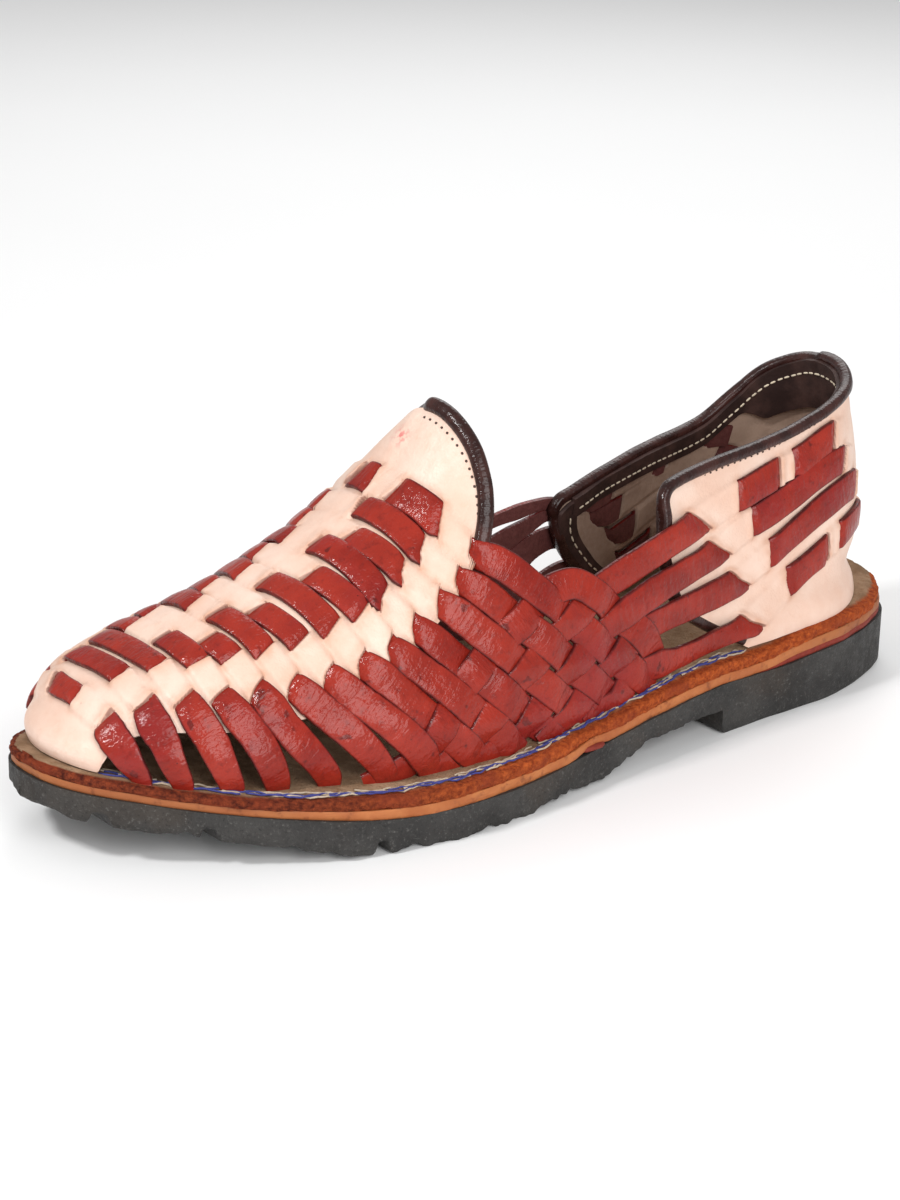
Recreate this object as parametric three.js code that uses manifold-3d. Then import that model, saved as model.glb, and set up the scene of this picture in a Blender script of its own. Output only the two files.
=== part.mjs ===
import * as THREE from 'three';
import { mergeVertices } from 'three/addons/utils/BufferGeometryUtils.js';
import Module from 'manifold-3d';

// Woven leather slip-on shoe for the left foot, in millimetres.
// X runs to the toe, Y to the shoe's left, Z up, and the floor is z = 0.

// Main sizes
const SOLE_LENGTH = 290;
const HEEL_WIDTH = 73.4;
const WAIST_WIDTH = 72.4;
const WAIST_SHIFT = 5.0;
const BALL_WIDTH = 102.3;
const BALL_SHIFT = -1.4;
const TOE_SHIFT = 15.2;
const TOE_FULLER = 1.0;
const HEEL_END = 0.13;
const TOE_END = 0.26;
const TOE_POWER = 2.4;
const GAP = 0.3;
// Puts the middle of the shoe's box on the X axis
const CENTRE_Y = 1.75;

// Heights of the insole's upper face
const FORE_TOP = 16.8;
const HEEL_TOP = 26.0;
const TOE_SPRING = 10.0;

// Thicknesses of the leather layers
const INSOLE_THICK = 3.4;
const MIDSOLE_THICK = 3.3;
const LAYER_THICK = 1.5;
const LAYER_FRONT = -84;
// Share by which the layers thin toward the toe
const FORE_THIN = 0.27;

// Rubber
const HEEL_BREAST = -57;
const BREAST_ROUND = 3.0;
const GROOVES = [136.5, 115.5, 73.6];
const GROOVE_WIDE = 4.2;
const GROOVE_DEEP = 3.2;
// How much more the rubber's underside rises at the toe than the insole does
const TOE_LIFT = 3.4;

// Underside of the rubber sole behind the ball, height over the floor
const UNDERSIDE = [
  { x: -150, z: 8.4 },
  { x: -54, z: 8.2 },
  { x: -26, z: 7.2 },
  { x: -15, z: 2.6 },
  { x: -4, z: 1.2 },
  { x: 20.5, z: 1.2 },
  { x: 22.5, z: 0 },
  { x: 58, z: 0 },
];

// Upper: centres of the heel and toe fans, ends, and lengths of the fans along the wall
const HEEL_FAN = -100;
const TOE_FAN = 88;
const HEEL_BACK = -136;
const TOE_TIP = 138.7;
const HEEL_ARC = 50;
const TOE_ARC = 70;
const HEEL_ROUND = 2.2;
const TOE_ROUND = { left: 2.15, right: 2.0 };
const WALL = 2.4;

// Sections of the upper: half widths at the insole, middle line, spine height over the insole,
// power of the section's curve, bulge of the side, and inward lean of each side
const SECTIONS = [
  { x: -140, left: 30.0, right: 29.5, mid: 0.0, spine: 125, power: 2.10, bulge: 2.2, leanL: 1.0, leanR: 1.0 },
  { x: -100, left: 30.0, right: 29.5, mid: 0.0, spine: 124, power: 2.10, bulge: 2.2, leanL: 1.5, leanR: 3.0 },
  { x: -60, left: 31.0, right: 28.0, mid: 1.5, spine: 120, power: 2.10, bulge: 2.0, leanL: 2.0, leanR: 5.0 },
  { x: -20, left: 34.0, right: 30.0, mid: 3.5, spine: 112, power: 2.00, bulge: 1.5, leanL: 1.0, leanR: 4.0 },
  { x: 20, left: 40.0, right: 39.0, mid: 1.5, spine: 92, power: 1.95, bulge: 1.2, leanL: 0, leanR: 0 },
  { x: 40, left: 41.5, right: 42.0, mid: -0.5, spine: 68.5, power: 1.95, bulge: 1.8, leanL: 0, leanR: 0 },
  { x: 60, left: 41.5, right: 42.5, mid: -2.5, spine: 57, power: 2.05, bulge: 2.5, leanL: 0, leanR: 0 },
  { x: 88, left: 36.5, right: 39.2, mid: -6.3, spine: 42, power: 2.25, bulge: 2.0, leanL: 0, leanR: 0 },
  { x: 112, left: 36.5, right: 39.2, mid: -10.0, spine: 31, power: 2.50, bulge: 1.5, leanL: 0, leanR: 0 },
  { x: 140, left: 36.5, right: 39.2, mid: -14.3, spine: 21.3, power: 3.00, bulge: 1.4, leanL: 0, leanR: 0 },
];
// Power of the right half's curve: steeper beside the tongue, fuller at the toe
const RIGHT_POWER = [
  { x: -60, power: 2.10 },
  { x: -20, power: 2.00 },
  { x: 20, power: 1.60 },
  { x: 40, power: 2.33 },
  { x: 60, power: 2.05 },
  { x: 88, power: 2.16 },
  { x: 112, power: 2.90 },
  { x: 140, power: 4.20 },
];
const TOE_BLEND = 24;

// Heights over the insole of the collar, q being the distance along the wall from the heel's back
const COLLAR = [
  { q: 0, left: 70.5, right: 70.5 },
  { q: 12, left: 68.6, right: 66.5 },
  { q: 22, left: 66.2, right: 60.0 },
  { q: 44, left: 61.0, right: 48.5 },
  { q: 70, left: 56.8, right: 43.8 },
  { q: 88, left: 56.2, right: 41.5 },
  { q: 105, left: 55.6, right: 38.5 },
  { q: 112, left: 54.6, right: 36.5 },
];
const COUNTER_FRONT = 115;
const COUNTER_DROP = { left: 45.6, right: 29.6 };

// Top of the braided sides between the counter and the tongue
const SIDE_TOP = [
  { q: 100, left: 43.8, right: 36.5 },
  { q: 116, left: 43.8, right: 36.8 },
  { q: 129, left: 41.5, right: 37.0 },
  { q: 144, left: 38.8, right: 36.0 },
  { q: 153, left: 42.2, right: 38.5 },
  { q: 163, left: 44.6, right: 42.0 },
  { q: 172, left: 49.5, right: 49.0 },
  { q: 182, left: 54.0, right: 54.0 },
];

// Edge of the tongue: v is 0 at the insole and 1 on the spine
const TONGUE = [
  { v: 0.48, q: 178.5 },
  { v: 0.55, q: 174.2 },
  { v: 0.62, q: 172.4 },
  { v: 0.72, q: 171.7 },
  { v: 0.85, q: 172.0 },
  { v: 1.00, q: 172.3 },
];
const TONGUE_FOOT = 0.485;
const BIND_WIDE = 4.4;
const BIND_THICK = 4.4;

// Front straps: where each leaves its slit in the vamp (q, height) and where it meets the insole
const RIBS = [
  { topQ: 293, topH: 16, footQ: 285 },
  { topQ: 285, topH: 21, footQ: 273 },
  { topQ: 275, topH: 24, footQ: 260.5 },
  { topQ: 262, topH: 26, footQ: 245.5 },
  { topQ: 248, topH: 28, footQ: 229.5 },
  { topQ: 236, topH: 29.5, footQ: 216.5 },
  { topQ: 226, topH: 31.5, footQ: 203 },
];
const RIB_WIDE = 9.6;
// Lower edge of the vamp between the front straps
const VAMP_EDGE = [12.0, 14.4, 15.8, 17.6, 19.6, 22.0];

// Windows between the straps of the side, corners as q and height
const WINDOWS = [
  [[182, 46.6], [172, 42.2], [177.5, 42.0]],
  [[195, 37.5], [185.5, 32.2], [184, 29.8], [189, 31.6]],
  [[121, 22.6], [97, 24.8], [94.3, 23.6], [99, 21.9]],
  [[117, 12.2], [92, 13.4], [84, 12.6], [89, 6.8], [112, 7.8]],
];
// Those of the right side, where the straps lie closer together
const RIGHT_WINDOWS = [
  ...WINDOWS.slice(0, 2),
  [[133, 31.0], [121, 33.0], [119.5, 32.2], [130, 28.6]],
  [[115, 14.0], [100, 18.0], [96, 17.0], [99, 12.0], [111, 9.8]],
];

// Smooth curve through the rows of a table that never overshoots them
function column(rows, key, name) {
  const xs = rows.map((row) => row[key]);
  const ys = rows.map((row) => row[name]);
  const n = xs.length;
  const step = [];
  const rise = [];
  for (let i = 0; i < n - 1; i += 1) {
    step.push(xs[i + 1] - xs[i]);
    rise.push((ys[i + 1] - ys[i]) / step[i]);
  }
  const slope = new Array(n).fill(0);
  for (let i = 1; i < n - 1; i += 1) {
    if (rise[i - 1] * rise[i] > 0) {
      const a = 2 * step[i] + step[i - 1];
      const b = step[i] + 2 * step[i - 1];
      slope[i] = (a + b) / (a / rise[i - 1] + b / rise[i]);
    }
  }
  slope[0] = rise[0];
  slope[n - 1] = rise[n - 2];
  return (value) => {
    const x = Math.min(Math.max(value, xs[0]), xs[n - 1]);
    let i = 0;
    while (i < n - 2 && x > xs[i + 1]) {
      i += 1;
    }
    const t = (x - xs[i]) / step[i];
    const u = 1 - t;
    const keep = ys[i] * (1 + 2 * t) * u * u + ys[i + 1] * t * t * (3 - 2 * t);
    return keep + step[i] * (slope[i] * t * u * u - slope[i + 1] * t * t * u);
  };
}

const clamp = (x, a, b) => Math.min(Math.max(x, a), b);
const smooth = (x, a, b) => {
  const t = clamp((x - a) / (b - a), 0, 1);
  return t * t * (3 - 2 * t);
};
const spread = (a, b, n) => Array.from({ length: n }, (_, i) => a + ((b - a) * i) / (n - 1));

// Height of the insole's upper face
function insoleTop(x) {
  const s = (x + SOLE_LENGTH / 2) / SOLE_LENGTH;
  const rise = clamp((s - 0.70) / 0.30, 0, 1.02);
  return HEEL_TOP + (FORE_TOP - HEEL_TOP) * smooth(s, 0.18, 0.62) + TOE_SPRING * rise ** 1.8;
}

// Outline of the sole at x: left and right edges, moved out by a margin
const OUTLINE = [
  { s: 0, left: HEEL_WIDTH / 2, right: HEEL_WIDTH / 2 },
  { s: 0.16, left: HEEL_WIDTH / 2, right: HEEL_WIDTH / 2 },
  { s: 0.40, left: WAIST_WIDTH / 2 + WAIST_SHIFT, right: WAIST_WIDTH / 2 - WAIST_SHIFT },
  { s: 0.66, left: BALL_WIDTH / 2 + BALL_SHIFT, right: BALL_WIDTH / 2 - BALL_SHIFT },
  { s: 0.80, left: BALL_WIDTH * 0.46 + BALL_SHIFT, right: BALL_WIDTH * 0.46 - BALL_SHIFT + TOE_FULLER },
  { s: 1, left: BALL_WIDTH * 0.31, right: BALL_WIDTH * 0.31 + TOE_FULLER },
];
const soleLeft = column(OUTLINE, 's', 'left');
const soleRight = column(OUTLINE, 's', 'right');
function soleEdge(x, margin) {
  const half = SOLE_LENGTH / 2 + margin;
  const s = clamp((x / half + 1) / 2, 0, 1);
  let end = 1;
  if (s < HEEL_END) {
    end = Math.sqrt(Math.max(0, 1 - ((HEEL_END - s) / HEEL_END) ** 2));
  }
  if (s > 1 - TOE_END) {
    end = Math.max(0, 1 - ((s - 1 + TOE_END) / TOE_END) ** TOE_POWER) ** (1 / TOE_POWER);
  }
  const mid = CENTRE_Y - TOE_SHIFT * clamp((s - 0.66) / 0.34, 0, 1) ** 1.5;
  return { left: mid + (soleLeft(s) + margin) * end, right: mid - (soleRight(s) + margin) * end };
}

// Stations along a sole piece, closer together at the round ends
function stations(from, to, margin, extra = []) {
  const half = SOLE_LENGTH / 2 + margin;
  const list = [];
  for (const t of [0.02, 0.1, 0.2, 0.31, 0.43, 0.56, 0.7, 0.85, 1]) {
    list.push(-half + HEEL_END * 2 * half * (1 - Math.cos((t * Math.PI) / 2)));
  }
  for (const t of [0.015, 0.07, 0.13, 0.2, 0.28, 0.37, 0.46, 0.56, 0.66, 0.77, 0.88, 1]) {
    list.push(half - TOE_END * 2 * half * (1 - Math.cos((t * Math.PI) / 2)));
  }
  list.push(...spread(-100, 62, 15), ...extra);
  const inside = list.filter((x) => x > from + 0.4 && x < to - 0.4);
  const ends = [Math.max(from, -half + 0.02), Math.min(to, half - 0.02)];
  const sorted = [...inside, ...ends].sort((a, b) => a - b);
  return sorted.filter((x, i) => i === 0 || x - sorted[i - 1] > 0.15);
}

// Closed mesh from vertices and quads or triangles
function meshOf(points, faces) {
  const geometry = new THREE.BufferGeometry();
  geometry.setAttribute('position', new THREE.Float32BufferAttribute(points.flat(), 3));
  const index = [];
  for (const f of faces) {
    index.push(f[0], f[1], f[2]);
    if (f.length === 4) {
      index.push(f[0], f[2], f[3]);
    }
  }
  geometry.setIndex(index);
  return geometry;
}

// Plate with the sole's outline between two height functions
function plate(from, to, margin, top, bottom, extra = []) {
  const points = [];
  const faces = [];
  const xs = stations(from, to, margin, extra);
  xs.forEach((x, i) => {
    const edge = soleEdge(x, margin);
    points.push([x, edge.left, bottom(x)], [x, edge.right, bottom(x)]);
    points.push([x, edge.right, top(x)], [x, edge.left, top(x)]);
    if (i > 0) {
      const b = 4 * i;
      const a = b - 4;
      for (let k = 0; k < 4; k += 1) {
        const m = (k + 1) % 4;
        faces.push([a + k, b + k, b + m, a + m]);
      }
    }
  });
  const last = 4 * (xs.length - 1);
  faces.push([0, 1, 2, 3], [last + 3, last + 2, last + 1, last]);
  return meshOf(points, faces);
}

// Upper's form: s is the distance along the wall from the heel's back, minus on the right side
const sectionOf = {};
for (const name of ['left', 'right', 'mid', 'spine', 'power', 'bulge', 'leanL', 'leanR']) {
  sectionOf[name] = column(SECTIONS, 'x', name);
}
const rightPower = column(RIGHT_POWER, 'x', 'power');
const STRAIGHT = TOE_FAN - HEEL_FAN;
const Q_END = HEEL_ARC + STRAIGHT + TOE_ARC;
function powerAt(x, side, q) {
  const part = side > 0 ? 0 : smooth(Q_END - q, 0, TOE_BLEND);
  return sectionOf.power(x) * (1 - part) + rightPower(x) * part;
}
function form(sValue, v) {
  let s = sValue;
  if (Math.abs(s) > Q_END) {
    s = -Math.sign(s) * (2 * Q_END - Math.abs(s));
  }
  const side = s < 0 ? -1 : 1;
  const q = Math.abs(s);
  const base = clamp(HEEL_FAN + q - HEEL_ARC, HEEL_FAN, TOE_FAN);
  let turn = Math.PI / 2;
  let round = side > 0 ? TOE_ROUND.left : TOE_ROUND.right;
  let reach = TOE_TIP - TOE_FAN;
  if (q < HEEL_ARC) {
    turn = ((q / HEEL_ARC) * Math.PI) / 2;
    round = HEEL_ROUND;
    reach = HEEL_FAN - HEEL_BACK;
  }
  if (q > HEEL_ARC + STRAIGHT) {
    turn = Math.PI / 2 + (((q - HEEL_ARC - STRAIGHT) / TOE_ARC) * Math.PI) / 2;
  }
  const width = side > 0 ? sectionOf.left(base) : sectionOf.right(base);
  const along = Math.abs(Math.cos(turn)) / reach;
  const across = Math.abs(Math.sin(turn)) / width;
  const radius = (along ** round + across ** round) ** (-1 / round);
  const t = (v * Math.PI) / 2;
  let x = base;
  let r = 0;
  let h = 0;
  for (let pass = 0; pass < 3; pass += 1) {
    const power = powerAt(x, side, q);
    const size = (Math.abs(Math.cos(t)) ** power + Math.abs(Math.sin(t)) ** power) ** (-1 / power);
    const out = Math.max(0, Math.cos(t)) * size;
    const up = Math.sin(t) * size;
    h = sectionOf.spine(x) * up;
    const lean = side > 0 ? sectionOf.leanL(x) : sectionOf.leanR(x);
    const swell = sectionOf.bulge(x) * Math.sin(Math.PI * clamp(up * 2.2, 0, 1));
    r = radius * out + swell - (lean * h * out) / 50;
    x = base - Math.cos(turn) * r;
  }
  const y = side * Math.sin(turn) * r + sectionOf.mid(x) + CENTRE_Y;
  return new THREE.Vector3(x, y, h + insoleTop(x));
}

// Outward direction of the upper's wall
function outward(s, v) {
  const top = Math.min(v + 0.004, 0.996);
  const low = Math.max(Math.min(v, 0.99) - 0.004, 0);
  const along = form(s + 0.5, v).sub(form(s - 0.5, v));
  const rise = form(s, top).sub(form(s, low));
  const n = rise.cross(along).normalize();
  if (v > 0.999) {
    const base = clamp(HEEL_FAN + Math.abs(s) - HEEL_ARC, HEEL_FAN, TOE_FAN);
    const drop = sectionOf.spine(base + 1) - sectionOf.spine(base - 1);
    n.set(-drop / 2, 0, 1).normalize();
  }
  return n;
}

// v of the point at a height over the insole
function atHeight(s, height) {
  let low = 0;
  let high = 1;
  for (let i = 0; i < 30; i += 1) {
    const m = (low + high) / 2;
    const p = form(s, m);
    if (p.z - insoleTop(p.x) < height) {
      low = m;
    } else {
      high = m;
    }
  }
  return (low + high) / 2;
}

const pick = (left, right) => (s) => (s < 0 ? right(-s) : left(s));
const collar = pick(column(COLLAR, 'q', 'left'), column(COLLAR, 'q', 'right'));
const sideTop = pick(column(SIDE_TOP, 'q', 'left'), column(SIDE_TOP, 'q', 'right'));
const tongueQ = column(TONGUE, 'v', 'q');
const SETBACK = BIND_WIDE / 2;
const TONGUE_Q = tongueQ(TONGUE_FOOT) + SETBACK;
const COUNTER_EDGE = COUNTER_FRONT - SETBACK;

// Grid of the wall: lower band all round, upper band over the vamp only
const LOWER_ROWS = 7;
const UPPER_ROWS = 8;
function wallColumns() {
  const q = [...spread(0, HEEL_ARC, 8), ...spread(60, 105, 6), COUNTER_EDGE - 0.4, COUNTER_EDGE + 0.4];
  q.push(...spread(116, 178, 10), TONGUE_Q, ...spread(190, HEEL_ARC + STRAIGHT, 7));
  q.push(...spread(HEEL_ARC + STRAIGHT, Q_END, 12).slice(1));
  const left = [...new Set(q)].sort((a, b) => a - b);
  return [...left.slice(1).reverse().map((x) => -x), ...left];
}
function wallTop(s) {
  const q = Math.abs(s);
  if (q > TONGUE_Q - 0.01) {
    return TONGUE_FOOT;
  }
  return atHeight(s, q < COUNTER_EDGE ? collar(s) - SETBACK : sideTop(s));
}
function wallPoint(s, row) {
  const foot = wallTop(s);
  if (row <= LOWER_ROWS) {
    return { s, v: (foot * row) / LOWER_ROWS };
  }
  const v = foot + ((1 - foot) * (row - LOWER_ROWS)) / UPPER_ROWS;
  const q = Math.abs(s);
  const hold = Math.max(0, 1 - (q - TONGUE_Q) / 45);
  const moved = q + (tongueQ(v) + SETBACK - TONGUE_Q) * hold;
  return { s: Math.sign(s) * moved, v };
}
function wallSolid() {
  const columns = wallColumns();
  const rows = LOWER_ROWS + UPPER_ROWS;
  const points = [];
  const faces = [];
  const number = new Map();
  const node = (i, row, layer) => {
    const key = `${i},${row},${layer}`;
    if (!number.has(key)) {
      const at = wallPoint(columns[i], row);
      const p = form(at.s, at.v).addScaledVector(outward(at.s, at.v), (layer - 0.5) * WALL);
      if (row === 0) {
        p.z = insoleTop(p.x) + GAP;
      }
      number.set(key, points.length);
      points.push(p.toArray());
    }
    return number.get(key);
  };
  const has = (i, row) => {
    if (i < 0 || i >= columns.length - 1 || row < 0 || row >= rows) {
      return false;
    }
    const front = Math.min(Math.abs(columns[i]), Math.abs(columns[i + 1])) > TONGUE_Q - 0.01;
    return row < LOWER_ROWS || front;
  };
  for (let i = 0; i < columns.length - 1; i += 1) {
    for (let row = 0; row < rows; row += 1) {
      if (!has(i, row)) {
        continue;
      }
      const corners = [[i, row], [i, row + 1], [i + 1, row + 1], [i + 1, row]];
      faces.push(corners.map((c) => node(c[0], c[1], 1)));
      faces.push(corners.map((c) => node(c[0], c[1], 0)).reverse());
      const around = [[i - 1, row], [i, row + 1], [i + 1, row], [i, row - 1]];
      around.forEach((cell, k) => {
        const toe = (k === 0 && i === 0) || (k === 2 && i === columns.length - 2);
        const spine = k === 1 && row === rows - 1;
        if (has(cell[0], cell[1]) || toe || spine) {
          return;
        }
        const a = corners[k];
        const b = corners[(k + 1) % 4];
        faces.push([node(a[0], a[1], 0), node(b[0], b[1], 0), node(b[0], b[1], 1), node(a[0], a[1], 1)]);
      });
    }
  }
  return meshOf(points, faces);
}

// Prism through the wall over a ladder of pairs of points (s, height)
function throughWall(pairs) {
  const points = [];
  const faces = [];
  pairs.forEach((pair, i) => {
    for (const depth of [-6, 6]) {
      for (const [s, h] of pair) {
        const v = atHeight(s, Math.max(h, 0.05));
        const p = form(s, v).addScaledVector(outward(s, v), depth);
        p.z += Math.min(h, 0);
        points.push(p.toArray());
      }
    }
    if (i > 0) {
      const b = 4 * i;
      const a = b - 4;
      const ring = [0, 1, 3, 2];
      ring.forEach((k, j) => {
        const m = ring[(j + 1) % 4];
        faces.push([a + k, a + m, b + m, b + k]);
      });
    }
  });
  const last = 4 * (pairs.length - 1);
  faces.push([0, 2, 3, 1], [last, last + 1, last + 3, last + 2]);
  return meshOf(points, faces);
}
function polygonThroughWall(corners, side) {
  const points = [];
  const faces = [];
  const n = corners.length;
  for (const depth of [-6, 6]) {
    for (const [q, h] of corners) {
      const s = q * side;
      const v = atHeight(s, h);
      points.push(form(s, v).addScaledVector(outward(s, v), depth).toArray());
    }
  }
  for (let k = 0; k < n; k += 1) {
    const m = (k + 1) % n;
    faces.push([k, m, n + m, n + k]);
    if (k > 0 && k < n - 1) {
      faces.push([0, k + 1, k], [n, n + k, n + k + 1]);
    }
  }
  return meshOf(points, faces);
}

// Rolled edge along a path of points (s, v) on the wall, grown all round by a clearance
function rolledEdge(path, grow) {
  const centre = path.map((at) => form(at.s, at.v));
  const n = path.length;
  const tails = [centre[0].clone().sub(centre[1]), centre[n - 1].clone().sub(centre[n - 2])];
  centre[0].addScaledVector(tails[0].normalize(), grow);
  centre[n - 1].addScaledVector(tails[1].normalize(), grow);
  const points = [];
  const faces = [];
  const sides = 8;
  path.forEach((at, i) => {
    const before = centre[Math.max(0, i - 1)];
    const after = centre[Math.min(path.length - 1, i + 1)];
    const run = after.clone().sub(before).normalize();
    const out = outward(at.s, at.v);
    const across = run.clone().cross(out).normalize();
    const up = across.clone().cross(run).normalize();
    for (let k = 0; k < sides; k += 1) {
      const a = ((k + 0.5) * 2 * Math.PI) / sides;
      const stretch = 1 / Math.cos(Math.PI / sides);
      const p = centre[i].clone();
      p.addScaledVector(across, Math.cos(a) * stretch * (BIND_WIDE / 2 + grow));
      p.addScaledVector(up, Math.sin(a) * stretch * (BIND_THICK / 2 + grow));
      points.push(p.toArray());
    }
    if (i > 0) {
      const b = sides * i;
      const a = b - sides;
      for (let k = 0; k < sides; k += 1) {
        const m = (k + 1) % sides;
        faces.push([a + k, b + k, b + m, a + m]);
      }
    }
  });
  const last = sides * (path.length - 1);
  for (let k = 1; k < sides - 1; k += 1) {
    faces.push([0, k, k + 1], [last, last + k + 1, last + k]);
  }
  return meshOf(points, faces);
}
function vampBindingPath() {
  const half = spread(TONGUE_FOOT + 0.012, 1, 15);
  const path = half.map((v) => ({ s: tongueQ(v) + BIND_WIDE / 2, v }));
  const other = half.slice(0, -1).reverse().map((v) => ({ s: -tongueQ(v) - BIND_WIDE / 2, v }));
  return [...path, ...other];
}
function counterBindingPath() {
  const inset = BIND_WIDE / 2;
  const corner = COUNTER_FRONT - inset;
  const end = corner - 5;
  const half = (side, drop) => {
    const top = collar(side * end) - inset;
    const list = [];
    for (const h of spread(drop, top - 5.5, 3)) {
      list.push({ s: side * corner, h });
    }
    for (const t of spread(0, 1, 5)) {
      const a = (t * Math.PI) / 2;
      list.push({ s: side * (end + 5 * Math.cos(a)), h: top - 5 + 5 * Math.sin(a) });
    }
    for (const q of spread(end - 6, 6, 18)) {
      list.push({ s: side * q, h: collar(side * q) - inset });
    }
    return list;
  };
  const left = half(1, COUNTER_DROP.left);
  const right = half(-1, COUNTER_DROP.right);
  const back = { s: 0, h: collar(0) - inset };
  return [...left, back, ...right.reverse()].map((at) => ({ s: at.s, v: atHeight(at.s, at.h) }));
}

const wasm = await Module();
wasm.setup();
function toSolid(geometry) {
  const merged = mergeVertices(geometry, 1e-4);
  const index = [];
  const source = merged.index.array;
  for (let i = 0; i < source.length; i += 3) {
    const [a, b, c] = [source[i], source[i + 1], source[i + 2]];
    if (a !== b && b !== c && a !== c) {
      index.push(a, b, c);
    }
  }
  return new wasm.Manifold(new wasm.Mesh({
    numProp: 3,
    vertProperties: new Float32Array(merged.attributes.position.array),
    triVerts: new Uint32Array(index),
  }));
}
function toGeometry(solid) {
  const mesh = solid.simplify(0.05).getMesh();
  const geometry = new THREE.BufferGeometry();
  geometry.setAttribute('position', new THREE.BufferAttribute(new Float32Array(mesh.vertProperties), 3));
  geometry.setIndex(new THREE.BufferAttribute(new Uint32Array(mesh.triVerts), 1));
  geometry.computeVertexNormals();
  return geometry;
}

// Upper: wall less the gaps between the straps and the room of the rolled edges
let upper = toSolid(wallSolid());
for (const side of [1, -1]) {
  for (let i = 0; i < RIBS.length - 1; i += 1) {
    const pairs = [-1.5, 0.3, 0.6, 1].map((t) => {
      const h = t < 0 ? t : t * VAMP_EDGE[i];
      const q = [RIBS[i], RIBS[i + 1]].map((rib) => {
        const k = clamp(h / rib.topH, 0, 1);
        return rib.footQ + (rib.topQ - rib.footQ) * k;
      });
      const middle = (q[0] + q[1]) / 2;
      const half = Math.max(0.9, (q[0] - q[1] - RIB_WIDE) / 2);
      return [[side * (middle - half), h], [side * (middle + half), h]];
    });
    const cut = toSolid(throughWall(side > 0 ? pairs : pairs.map((p) => [p[1], p[0]])));
    upper = upper.subtract(cut);
  }
  for (const corners of side > 0 ? WINDOWS : RIGHT_WINDOWS) {
    const order = side < 0 ? corners : [...corners].reverse();
    upper = upper.subtract(toSolid(polygonThroughWall(order, side)));
  }
}

for (const path of [vampBindingPath(), counterBindingPath()]) {
  upper = upper.subtract(toSolid(rolledEdge(path, GAP)));
}

upper = upper.decompose().sort((a, b) => b.volume() - a.volume())[0];

// Sole layers
const thinned = (x) => 1 - FORE_THIN * smooth(x, 60, 105);
const insoleBottom = (x) => insoleTop(x) - INSOLE_THICK * thinned(x);
const midsoleTop = (x) => insoleBottom(x) - GAP;
const midsoleBottom = (x) => midsoleTop(x) - MIDSOLE_THICK * thinned(x);
const layerTop = (x) => midsoleBottom(x) - GAP;
const layerBottom = (x) => layerTop(x) - LAYER_THICK;
const rubberTop = (x) => {
  const layer = (LAYER_THICK + GAP) * (1 - smooth(x, LAYER_FRONT - 2, LAYER_FRONT + 6));
  return midsoleBottom(x) - GAP - layer;
};
const underRear = column(UNDERSIDE, 'x', 'z');
const underside = (x) => {
  const spring = insoleTop(x) - FORE_TOP + TOE_LIFT * smooth(x, 74, 112);
  return Math.max(underRear(x), x < 58 ? 0 : spring);
};
const RUBBER_STATIONS = [-86, -82, -78, -21, -15, -10, 20.5, 22.5, 58, 74, 112];
let outsole = toSolid(plate(-200, 200, 0.4, rubberTop, underside, RUBBER_STATIONS));
for (const at of GROOVES) {
  const depth = underside(at) + GROOVE_DEEP;
  const block = new THREE.BoxGeometry(GROOVE_WIDE, 160, 2 * GROOVE_DEEP);
  block.translate(at, 0, depth - GROOVE_DEEP);
  block.deleteAttribute('normal');
  block.deleteAttribute('uv');
  outsole = outsole.subtract(toSolid(block));
}
const liftBottom = (x) => {
  const t = clamp((x - HEEL_BREAST) / BREAST_ROUND + 1, 0, 1);
  return BREAST_ROUND * (1 - Math.sqrt(1 - t ** 2));
};
const liftStations = [1, 0.6, 0.3, 0.12].map((t) => HEEL_BREAST - t * BREAST_ROUND);

const pieces = {
  upper: toGeometry(upper),
  vamp_binding: rolledEdge(vampBindingPath(), 0),
  counter_binding: rolledEdge(counterBindingPath(), 0),
  insole: plate(-200, 200, 0, insoleTop, insoleBottom),
  midsole: plate(-200, 200, 0.2, midsoleTop, midsoleBottom),
  heel_layer: plate(-200, LAYER_FRONT - 2.5, 0.2, layerTop, layerBottom),
  outsole: toGeometry(outsole),
  heel: plate(-200, HEEL_BREAST, 0.4, (x) => underside(x) - GAP, liftBottom, liftStations),
};
const COLOURS = {
  upper: 0x9a3a2c,
  vamp_binding: 0x2c1815,
  counter_binding: 0x2c1815,
  insole: 0xc08050,
  midsole: 0xb8743c,
  heel_layer: 0x6c2418,
  outsole: 0x343433,
  heel: 0x343431,
};

const group = new THREE.Group();
group.name = 'huarache_moccasin';
for (const [name, geometry] of Object.entries(pieces)) {
  const material = new THREE.MeshStandardMaterial({ color: COLOURS[name], roughness: 0.7 });
  geometry.computeVertexNormals();
  const mesh = new THREE.Mesh(geometry, material);
  mesh.name = name;
  group.add(mesh);
}

export default group;
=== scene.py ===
import math

import bpy
import numpy as np
from mathutils import Matrix, Vector


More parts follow.
